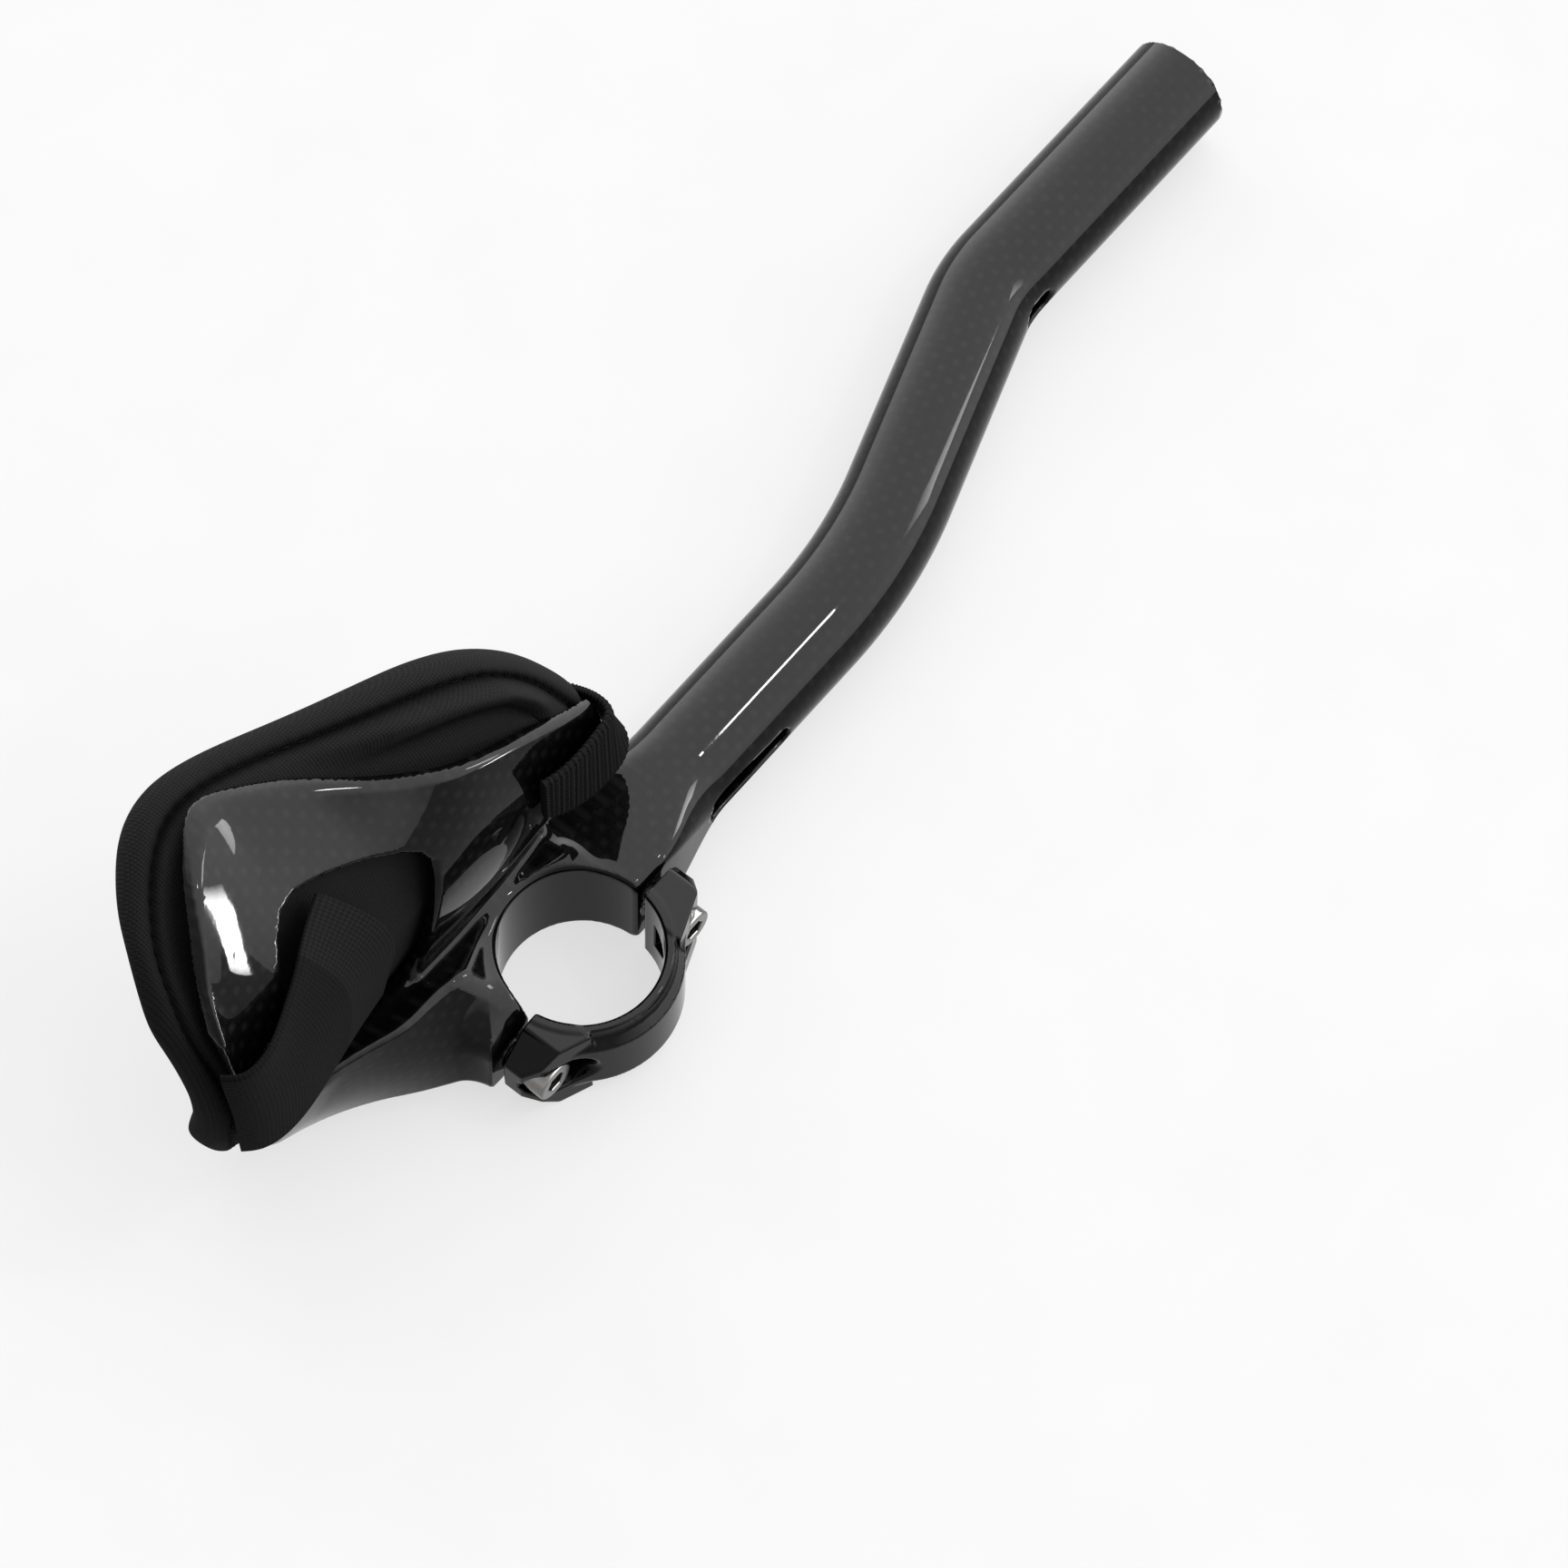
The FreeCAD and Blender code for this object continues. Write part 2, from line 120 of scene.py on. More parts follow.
def surface_nets(f, xs, ys, zs):
    """Quads along the zero level of f on a grid."""
    neg = f < 0
    nx, ny, nz = f.shape
    c = np.zeros((nx - 1, ny - 1, nz - 1), np.int8)
    for i in (0, 1):
        for j in (0, 1):
            for k in (0, 1):
                c += neg[i:nx - 1 + i, j:ny - 1 + j, k:nz - 1 + k]
    active = (c > 0) & (c < 8)
    idx = np.full(c.shape, -1, np.int64)
    cells = np.argwhere(active)
    idx[active] = np.arange(len(cells))
    acc = np.zeros((len(cells), 3))
    cnt = np.zeros(len(cells))
    axes = (xs, ys, zs)
    for axis in range(3):
        o1, o2 = [k for k in range(3) if k != axis]
        for a in (0, 1):
            for b in (0, 1):
                p0 = cells.copy()
                p0[:, o1] += a
                p0[:, o2] += b
                p1 = p0.copy()
                p1[:, axis] += 1
                f0 = f[p0[:, 0], p0[:, 1], p0[:, 2]]
                f1 = f[p1[:, 0], p1[:, 1], p1[:, 2]]
                hit = (f0 < 0) != (f1 < 0)
                t = np.where(hit, f0 / np.where(hit, f0 - f1, 1), 0)
                pos = np.stack([axes[k][p0[:, k]] for k in range(3)], 1)
                pos[:, axis] += t * (axes[axis][p1[:, axis]] - axes[axis][p0[:, axis]])
                acc[hit] += pos[hit]
                cnt[hit] += 1
    verts = acc / cnt[:, None]
    quads = []
    for axis in range(3):
        o1, o2 = (axis + 1) % 3, (axis + 2) % 3
        lo = [slice(None)] * 3
        hi = [slice(None)] * 3
        lo[axis], hi[axis] = slice(0, -1), slice(1, None)
        for o in (o1, o2):
            lo[o] = hi[o] = slice(1, -1)
        s0, s1 = neg[tuple(lo)], neg[tuple(hi)]
        e = np.argwhere(s0 != s1)
        if not len(e):
            continue
        out = s0[e[:, 0], e[:, 1], e[:, 2]]
        ring = []
        for a, b in ((0, 0), (1, 0), (1, 1), (0, 1)):
            q = e.copy()
            q[:, o1] += a
            q[:, o2] += b
            ring.append(idx[q[:, 0], q[:, 1], q[:, 2]])
        ring = np.stack(ring, 1)
        ring[~out] = ring[~out][:, ::-1]
        quads.append(ring)
    return verts, np.concatenate(quads)


def gradient(sdf, p, e=0.06):
    g = np.empty_like(p)
    for k in range(3):
        d = np.zeros(3)
        d[k] = e
        g[:, k] = (sdf(p + d) - sdf(p - d)) / (2 * e)
    return g


def relax(verts, quads, sdf, step, rounds=3):
    """Evens the quads out along the surface and puts each point on it."""
    e = np.concatenate([quads[:, [0, 1]], quads[:, [1, 2]], quads[:, [2, 3]], quads[:, [3, 0]]])
    n = len(verts)
    deg = np.bincount(e[:, 0], minlength=n) + np.bincount(e[:, 1], minlength=n)
    v = verts
    for r in range(rounds):
        g = gradient(sdf, v)
        g2 = (g * g).sum(1)
        d = np.clip(sdf(v) / np.maximum(g2, 0.2), -step, step)
        v = v - g * d[:, None]
        if r < rounds - 1:
            s = np.stack([np.bincount(e[:, 0], v[e[:, 1], k], n) + np.bincount(e[:, 1], v[e[:, 0], k], n) for k in range(3)], 1)
            move = (s / np.maximum(deg, 1)[:, None] - v) * 0.5
            nrm = g / np.sqrt(np.maximum(g2, 1e-9))[:, None]
            move -= nrm * (move * nrm).sum(1)[:, None]
            v = v + move
    g = gradient(sdf, v)
    return v, g / np.maximum(np.linalg.norm(g, axis=1), 1e-9)[:, None]


def mesh_object(name, verts_mm, faces, normals=None, smooth_faces=True):
    me = bpy.data.meshes.new(name)
    v = np.asarray(verts_mm, float) * MM
    me.from_pydata(v.tolist(), [], [list(map(int, f)) for f in faces])
    me.validate()
    me.update()
    if smooth_faces:
        me.polygons.foreach_set("use_smooth", np.ones(len(me.polygons), bool))
    if normals is not None and len(me.vertices) == len(normals):
        me.normals_split_custom_set_from_vertices(normals.tolist())
    ob = bpy.data.objects.new(name, me)
    bpy.context.scene.collection.objects.link(ob)
    return ob


def point_attribute(ob, name, values):
    values = np.asarray(values, np.float32)
    if values.ndim == 1:
        a = ob.data.attributes.new(name, "FLOAT", "POINT")
        a.data.foreach_set("value", values)
    else:
        a = ob.data.attributes.new(name, "FLOAT_VECTOR", "POINT")
        a.data.foreach_set("vector", values.ravel())


# ------------------------------------------------------------------ driving dimensions (mm)
BORE_R, CLAMP_HALF = 15.9, 11.0
SADDLE_Y, CAP_Y = -0.7, -2.3
TUBE_R, TUBE_IN = 11.1, 9.3
SLOPE = math.radians(18.5)
BEND1_X, BEND1_R, BEND2_R = 104.0, 110.0, 38.0
BASE_Y, END_Y, END_X = 13.0, 34.8, 234.5
BOLT_X = 20.5
CUP_T = 3.0

CUP = [
    (28.4, (19.6, 26.4), (17.0, 35.0), (19.6, 43.2)),
    (18.0, (21.0, 16.0), (16.9, 35.0), (20.4, 49.5)),
    (10.0, (22.4, 9.0), (16.8, 35.0), (21.0, 54.0)),
    (0.0, (23.6, 2.5), (16.7, 35.0), (22.0, 59.5)),
    (-7.0, (24.2, -0.5), (16.7, 35.0), (23.6, 63.0)),
    (-14.4, (24.6, -3.0), (16.7, 35.2), (27.4, 66.0)),
    (-22.0, (24.8, -4.5), (16.7, 35.4), (32.4, 69.4)),
    (-30.0, (24.9, -5.5), (16.7, 35.6), (38.4, 73.0)),
    (-38.0, (25.0, -6.0), (16.7, 35.8), (42.6, 76.8)),
    (-46.0, (25.0, -6.0), (16.6, 36.0), (44.9, 80.4)),
    (-51.0, (24.9, -5.8), (16.5, 36.0), (43.4, 82.0)),
    (-56.0, (24.7, -5.0), (16.3, 36.0), (39.8, 82.0)),
    (-61.0, (24.3, -1.2), (16.0, 36.0), (35.6, 80.8)),
    (-66.0, (23.6, 4.6), (15.7, 36.0), (30.8, 77.2)),
    (-70.5, (22.4, 15.0), (15.3, 36.0), (25.8, 71.2)),
    (-74.5, (20.4, 26.0), (15.0, 36.0), (17.6, 63.5)),
]
NOTCH = [(-90.0, 17.0), (-52.0, 17.0), (-40.0, 16.4), (-32.0, 16.2), (-27.5, 17.2), (-24.6, 21.0), (-22.6, 28.0), (-20.6, 37.0), (-18.4, 46.0),
         (-18.0, 49.6), (-19.2, 52.6), (-22.4, 55.4), (-28.0, 58.4), (-37.0, 62.2), (-44.0, 64.8), (-48.4, 65.2), (-52.4, 63.4), (-55.2, 60.0),
         (-57.0, 56.0), (-59.4, 53.0), (-64.0, 51.4), (-90.0, 51.0)]
PAD = [
    (29.5, (22.6, 27.4), (21.2, 35.0), (22.9, 41.6)),
    (25.0, (23.6, 19.6), (20.9, 35.0), (25.2, 50.6)),
    (18.0, (24.8, 12.0), (20.7, 35.0), (28.8, 60.0)),
    (8.0, (26.2, 2.6), (20.5, 35.0), (33.2, 67.2)),
    (-8.0, (27.4, -3.8), (20.3, 35.0), (39.2, 71.6)),
    (-25.0, (28.2, -6.4), (20.2, 35.5), (45.6, 75.0)),
    (-42.0, (28.6, -7.2), (20.1, 36.0), (51.0, 78.6)),
    (-52.0, (28.4, -7.2), (20.0, 36.0), (50.9, 80.2)),
    (-62.0, (27.6, -5.6), (19.6, 36.0), (46.2, 79.0)),
    (-70.5, (26.0, 2.0), (19.2, 36.0), (38.8, 75.2)),
    (-76.2, (24.0, 12.4), (18.8, 36.0), (31.4, 69.0)),
    (-79.8, (21.8, 25.0), (18.8, 36.0), (25.2, 58.6)),
]


class Trough:
    """A curved tray: each cross-section is a shallow bow from rim to keel to rim."""

    def __init__(self, rows):
        x = [r[0] for r in rows]
        self.x0, self.x1 = min(x), max(x)
        self.f = [spline(x, [r[i][j] for r in rows]) for i in (1, 2, 3) for j in (0, 1)]

    def section(self, x):
        """inner y, z, keel y, z, outer y, z at x."""
        return [g(x) for g in self.f]

    def height(self, x, z):
        yi, zi, yk, zk, yo, zo = self.section(x)
        s = np.where(z > zk, (z - zk) / (zo - zk), (zk - z) / (zk - zi))
        s = np.minimum(s, 1.35)
        return yk + (np.where(z > zk, yo, yi) - yk) * s * s

    def steepness(self, x, z):
        e = 0.4
        gx = (self.height(x + e, z) - self.height(x - e, z)) / (2 * e)
        gz = (self.height(x, z + e) - self.height(x, z - e)) / (2 * e)
        return 1.0 / np.sqrt(1 + gx * gx + gz * gz)

    def outline(self, n=64):
        """Plan outline (x, z)."""
        x = np.linspace(self.x1, self.x0, n)
        _, zi, _, _, _, zo = self.section(x)
        return np.concatenate([np.stack([x, zo], 1), np.stack([x[::-1], zi[::-1]], 1)])

    def arc(self, x, side):
        """Half width (z) and rise (y) of one side of a section, and the arc length from keel to rim."""
        yi, zi, yk, zk, yo, zo = self.section(x)
        zz = zo - zk if side > 0 else zk - zi
        yy = (yo if side > 0 else yi) - yk
        a = 2 * yy / zz
        return zz, yy, zz * (0.5 * np.sqrt(1 + a * a) + np.arcsinh(a) / (2 * a))

    def place(self, x, w, h):
        """Point at x, at arc length w from the keel (outboard positive), h above the lower face."""
        yi, zi, yk, zk, yo, zo = self.section(x)
        side = np.where(w >= 0, 1.0, -1.0)
        zz = np.where(w >= 0, zo - zk, zk - zi)
        yy = np.where(w >= 0, yo, yi) - yk
        a = 2 * yy / zz
        s = np.abs(w) / zz
        for _ in range(6):
            f = zz * (0.5 * s * np.sqrt(1 + a * a * s * s) + np.arcsinh(a * s) / (2 * a)) - np.abs(w)
            s = np.maximum(s - f / (zz * np.sqrt(1 + a * a * s * s)), 0)
        n = np.sqrt(1 + a * a * s * s)
        y = yk + yy * s * s + h / n
        z = zk + side * (zz * s - h * a * s / n)
        return np.stack([x + 0 * y, y, z], -1)


cup, pad = Trough(CUP), Trough(PAD)


def tube_line():
    d1 = np.array([math.cos(SLOPE), math.sin(SLOPE)])
    t1, t2 = BEND1_R * math.tan(SLOPE / 2), BEND2_R * math.tan(SLOPE / 2)
    v1 = np.array([BEND1_X, BASE_Y])
    v2 = np.array([BEND1_X + (END_Y - BASE_Y) / math.tan(SLOPE), END_Y])
    a = v1 - np.array([t1, 0])
    b = v2 - d1 * t2
    pts = [np.array([13.0, BASE_Y])]
    for i in range(41):
        f = SLOPE * i / 40
        pts.append(a + BEND1_R * np.array([math.sin(f), 1 - math.cos(f)]))
    for i in range(41):
        f = SLOPE * i / 40
        pts.append(b + BEND2_R * np.array([math.sin(SLOPE) - math.sin(SLOPE - f), math.cos(SLOPE - f) - math.cos(SLOPE)]))
    pts.append(np.array([END_X + 6, END_Y]))
    return np.array(pts)


LINE = tube_line()
LINE_S = np.r_[0, np.cumsum(np.linalg.norm(np.diff(LINE, axis=0), axis=1))]


def line_dist(x, y, full=False):
    """Distance in the plane to the tube's centre line (and place along it, signed offset)."""
    best = np.full(x.shape, 1e18)
    place = np.zeros(x.shape)
    off = np.zeros(x.shape)
    for i in range(len(LINE) - 1):
        (ax, ay), (bx, by) = LINE[i], LINE[i + 1]
        ex, ey = bx - ax, by - ay
        ll = ex * ex + ey * ey
        wx, wy = x - ax, y - ay
        t = np.clip((wx * ex + wy * ey) / ll, 0, 1)
        dx, dy = wx - ex * t, wy - ey * t
        d = dx * dx + dy * dy
        if full:
            near = d < best
            place = np.where(near, LINE_S[i] + t * math.sqrt(ll), place)
            off = np.where(near, (ex * wy - ey * wx) / math.sqrt(ll), off)
        best = np.minimum(best, d)
    return (np.sqrt(best), place, off) if full else np.sqrt(best)


# ------------------------------------------------------------------ carbon body
SADDLE = [(25.5, SADDLE_Y), (25.5, 22.6), (8.0, 24.6), (-8.0, 24.6), (-18.0, 21.0), (-26.0, 12.0), (-27.0, SADDLE_Y)]
# underside of the wing that carries the rear inboard arm: along its floor side and along its ridge
WING_LOW = spline([-75.0, -64.0, -55.2, -48.0, -41.7, -37.0, -30.0, -25.0, -18.0, 0.0, 30.0], [27.0, 25.0, 22.6, 18.8, 14.2, 10.0, 3.8, -0.6, -3.0, -6.0, -8.0])
WING_RIDGE = spline([-75.0, -64.0, -56.0, -49.0, -42.1, -36.6, -30.8, -25.0, -18.0, 0.0, 30.0], [19.4, 18.2, 17.0, 15.3, 13.2, 11.6, 11.3, 11.0, 9.0, 5.0, 2.0])
# how steeply the near face climbs away from the bore, by direction round it (degrees)
FLARE_AT = [-20.0, 20.0, 45.0, 70.0, 100.0, 135.0, 160.0, 185.0, 210.0]
FLARE = [0.0, 0.0, 0.35, 1.7, 2.15, 1.5, 1.0, 0.55, 0.3]
CUP_PLAN = cup.outline()
PAD_PLAN = pad.outline()


def blade_bow(x, z):
    """Slight extra bow of the outboard rear arm towards the opening."""
    w = np.clip((x + 55.06) * 0.521 - (z - 74.45) * 0.854, 0, 10)
    return -0.006 * w * w * smooth(-37.0, -48.0, x) * smooth(40.0, 50.0, z)


def body_xy(x, y):
    rr = np.hypot(x, y)
    turn = np.degrees(np.arctan2(y, x))
    turn = np.where(turn < -90, turn + 360, turn)
    k = np.interp(turn, FLARE_AT, FLARE)
    return line_dist(x, y), poly_dist(x, y, SADDLE), rr, 11.0 + k * (rr - 16.2), 1.0 / np.sqrt(1 + k * k)


def body_xz(x, z):
    xc = np.clip(x, cup.x0 - 4, cup.x1 + 4)
    xp = np.clip(x, pad.x0 - 2, pad.x1 + 2)
    sx = np.clip(x, 44.0, 63.0)
    px = np.clip(x, 170.5, 174.5)
    t = np.clip((z + 11.0) / 31.0, -0.1, 1.1)
    low = WING_LOW(x) * (1 - t) + WING_RIDGE(x) * t - 2.0 * np.sin(math.pi * np.clip(t, 0, 1))
    return (poly_dist(x, z, CUP_PLAN), poly_dist(x, z, NOTCH), low, cup.height(xc, z) + blade_bow(x, z), cup.steepness(xc, z),
            poly_dist(x, z, PAD_PLAN), pad.height(xp, z), pad.steepness(xp, z), np.hypot(x - sx, z) - (3.0 - 0.6 * smooth(50, 62, x)), np.hypot(x - px, z) - 2.5)


def body_mix(x, y, z, xy, xz):
    line, saddle2, rr, near, near_k = xy
    rim, notch, low, yl, st, padrim, yp, sp, slot, port = xz
    az = np.abs(z)
    radial = np.sqrt(line * line + z * z)
    tube = np.maximum(radial - TUBE_R, 45.0 - x)
    # neck: the square saddle turns into the round tube
    t = smooth(23.0, 47.0, x)
    cy, hy, hz, round_ = 10.95 + 2.05 * t, 11.65 - 0.55 * t, 11.0 + 0.1 * t, 2.4 + 8.7 * t
    qy, qz = np.abs(y - cy) - hy + round_, az - hz + round_
    neck = np.hypot(np.maximum(qy, 0), np.maximum(qz, 0)) + np.minimum(np.maximum(qy, qz), 0) - round_
    neck = np.maximum(neck, np.maximum(x - 48.0, 20.0 - x))
    saddle = rmax(saddle2, az - CLAMP_HALF, 2.4 + 4.4 * smooth(4.0, -14.0, x) * smooth(14.0, 6.0, y))
    # wing and root: one lump between the saddle, the shell and the ridge beside the rear opening
    h = (y - yl) * st
    under = (low - y) * 0.74
    top = np.minimum((z - near) * near_k, 60.0)
    wall = (z - 20.4 + 0.5 * (y - low)) * 0.9
    lump = rmax(under, -10.9 - z, 4.0)
    lump = rmax(lump, top, 2.0)
    lump = rmax(lump, wall, 1.6)
    lump = rmax(lump, h - 1.4, 1.0)
    lump = rmax(lump, x - 26.0, 4.0)
    lump = rmax(lump, rim, 1.5)
    shell = np.maximum(-h, h - CUP_T)
    shell = rmax(shell, rim * 0.9, 1.15)
    shell = rmax(shell, -notch * 0.9, 1.2)
    d = np.minimum(saddle, neck)
    d = rmin(d, lump, 4.0)
    d = rmin(d, shell, 3.4)
    d = np.minimum(d, tube)
    hp = (y - yp) * sp + 0.5
    room = np.maximum(-hp, padrim - 1.0)
    d = rmax(d, -room, 0.5)
    d = rmax(d, -11.09 - z, 0.5)
    bore = np.maximum(rr - BORE_R, az - 60.0)
    d = rmax(d, -bore, 1.1)
    d = rmax(d, SADDLE_Y - y, 0.4)
    d = rmax(d, -np.maximum(radial - TUBE_IN, 43.5 - x), 0.3)
    d = rmax(d, -np.maximum(slot, y - 8.0), 0.6)
    d = rmax(d, -np.maximum(port, y - 30.0), 0.6)
    d = rmax(d, x - END_X, 0.45)
    return d


def body_at(p):
    x, y, z = p[:, 0], p[:, 1], p[:, 2]
    return body_mix(x, y, z, body_xy(x, y), body_xz(x, z))


def build_body():
    step = 0.75
    xs = np.concatenate([np.arange(-77.5, 72, step), np.arange(72.3, 237, 1.7)])
    ys = np.arange(-2.6, 49.4, step)
    zs = np.arange(-12.6, 84.6, step)
    gx, gy = np.meshgrid(xs, ys, indexing="ij")
    xy = [a[:, :, None] for a in body_xy(gx, gy)]
    gx, gz = np.meshgrid(xs, zs, indexing="ij")
    xz = [a[:, None, :] for a in body_xz(gx, gz)]
    f = body_mix(xs[:, None, None], ys[None, :, None], zs[None, None, :], xy, xz)
    v, q = surface_nets(f, xs, ys, zs)
    v, n = relax(v, q, body_at, 0.6)
    ob = mesh_object("carbon_body_moulding", v, q, n)
    # weave lines: along and round the tube, along and across the cradle
    x, y, z = v[:, 0], v[:, 1], v[:, 2]
    line, place, off = line_dist(x, y, full=True)
    theta = np.arctan2(z, off)
    tube_like = (np.hypot(line, z) < TUBE_R + 1.2) & (x > 38)
    yl = cup.height(np.clip(x, cup.x0, cup.x1), z)
    on_cup = (np.abs(y - yl) < 7) & (~tube_like)
    _, _, _, zk, _, _ = cup.section(np.clip(x, cup.x0, cup.x1))
    wz = z - zk
    arc = np.sign(wz) * np.hypot(wz, y - 16.5)
    u = np.where(tube_like, place, x)
    w = np.where(tube_like, theta * TUBE_R, np.where(on_cup, arc, z * 0.8 + y))
    show = smooth(16.2, 17.6, np.hypot(x, y)) * smooth(-0.5, 0.6, y) * np.where(np.abs(z) < 26, 1.0, 1.0)
    show = np.where((x > 36) & (np.hypot(line, z) < TUBE_IN + 0.4), 0.25, show)
    point_attribute(ob, "weave", np.stack([u, w, show], 1))
    print("body quads", len(q))
    return ob


# ------------------------------------------------------------------ clamp cap and bolts
EAR = [(13.0, -1.0), (25.6, -1.0), (25.6, -6.6), (23.0, -9.6), (13.0, -13.6)]
CAP_Z = [0.0, 6.2, 6.7, 7.3, 8.0, 8.8, 9.6, 10.2, 10.7, 11.4]
CAP_RO = [19.8, 19.8, 19.72, 19.05, 18.35, 17.95, 17.8, 17.75, 17.7, 17.6]


def cap_at(p):
    x, y, z = p[:, 0], p[:, 1], p[:, 2]
    az, r = np.abs(z), np.hypot(x, y)
    band = rmax((r - np.interp(az, CAP_Z, CAP_RO)) * 0.86, az - CLAMP_HALF, 0.3)
    d = band
    for sx in (-1, 1):
        mx = x * sx
        ear = rmax(poly_dist(mx, y, EAR), az - CLAMP_HALF, 0.6)
        if sx > 0:
            bevel = (mx - 23.4) * 0.737 + (az - 11.0) * 0.676
        else:
            bevel = (mx - 19.6) * 0.74 + (az - 11.0) * 0.673
        ear = rmax(ear, bevel, 0.5)
        d = rmin(d, ear, 1.0)
    d = rmax(d, y - CAP_Y, 0.4)
    d = rmax(d, BORE_R - r, 0.7)
    for sx in (-1, 1):
        mx = x * sx
        sink = np.maximum(np.hypot(mx - np.clip(mx, 17.6, BOLT_X), z) - 4.8, y + 6.0)
        d = rmax(d, -sink, 0.6)
        d = rmax(d, 2.8 - np.hypot(mx - BOLT_X, z), 0.2)
    return d


def grid_solid(name, sdf, lo, hi, step):
    ax = [np.arange(lo[k], hi[k], step) for k in range(3)]
    g = np.stack(np.meshgrid(*ax, indexing="ij"), -1)
    f = sdf(g.reshape(-1, 3)).reshape(g.shape[:3])
    v, q = surface_nets(f, *ax)
    v, n = relax(v, q, sdf, step * 0.8)
    return mesh_object(name, v, q, n)


def bolt_sdf(cx):
    def at(p):
        x, y, z = p[:, 0] - cx, p[:, 1], p[:, 2]
        r = np.hypot(x, z)
        head = rmax(r - 4.25, np.abs(y + 8.5) - 2.5, 0.45)
        shank = np.maximum(r - 2.5, np.abs(y - 1.0) - 8.0)
        a = np.abs(x)
        b = np.abs(z)
        hexa = np.maximum(b, b * 0.5 + a * 0.866) - 2.0
        d = np.minimum(head, shank)
        return rmax(d, -np.maximum(hexa, y + 8.0), 0.25)
    return at


# ------------------------------------------------------------------ arm pad
PAD_THICK, PAD_TAIL, PAD_TAPER_X = 13.0, 8.0, -54.0


def pad_share(x):
    """How thick the pad is at x, as a share of its full thickness."""
    return 1.0 - (1.0 - PAD_TAIL / PAD_THICK) * smooth(PAD_TAPER_X, pad.x0, x)


def pad_outline(n):
    """Outline of the unrolled pad as (x, arc length from keel), evenly spaced."""
    x = np.linspace(pad.x1 + 0.9, pad.x0 + 0.5, 90)
    out = np.array([pad.arc(q, 1)[2] for q in x])
    inn = np.array([pad.arc(q, -1)[2] for q in x])
    loop = np.concatenate([np.stack([x, out + 4.2], 1), np.stack([x[::-1], -(inn[::-1] + 0.6)], 1)])
    loop = np.concatenate([loop, loop[:1]])
    for _ in range(2):
        s = np.r_[0, np.cumsum(np.linalg.norm(np.diff(loop, axis=0), axis=1))]
        t = np.linspace(0, s[-1], 721)
        loop = np.stack([np.interp(t, s, loop[:, k]) for k in (0, 1)], 1)[:-1]
        k = np.exp(-0.5 * (np.arange(-14, 15) / 5.0) ** 2)
        k /= k.sum()
        loop = np.stack([np.convolve(np.r_[loop[-14:, c], loop[:, c], loop[:14, c]], k, "valid") for c in (0, 1)], 1)
        loop = np.concatenate([loop, loop[:1]])
    s = np.r_[0, np.cumsum(np.linalg.norm(np.diff(loop, axis=0), axis=1))]
    t = np.linspace(0, s[-1], n + 1)[:-1]
    return np.stack([np.interp(t, s, loop[:, k]) for k in (0, 1)], 1), t, s[-1]


# section of the pad from the middle of its underside, round the edge, to the middle of its top:
# distance in from the outline, height above the lower face
PROFILE = [(30.0, 0.2), (24.0, 0.2), (18.0, 0.1), (14.0, -0.05), (11.0, -0.35), (8.6, -0.7), (6.9, -0.4), (6.0, 0.4), (5.4, 1.4),
           (5.0, 1.6), (4.6, 1.3), (4.0, 0.6), (3.2, 0.45), (2.2, 1.0), (1.1, 2.3), (0.4, 4.2), (0.0, 6.6), (0.15, 8.8), (0.9, 10.9), (2.3, 12.6), (4.2, 13.5), (6.2, 13.6),
           (8.2, 12.8), (9.7, 11.4), (10.5, 10.2), (11.0, 9.7), (11.5, 9.7), (12.4, 9.9), (14.5, 9.9), (18.0, 9.6), (24.0, 9.4), (30.0, 9.3)]
LOW_SEAM, TOP_SEAM = (5.0, 1.55), (11.2, 9.7)


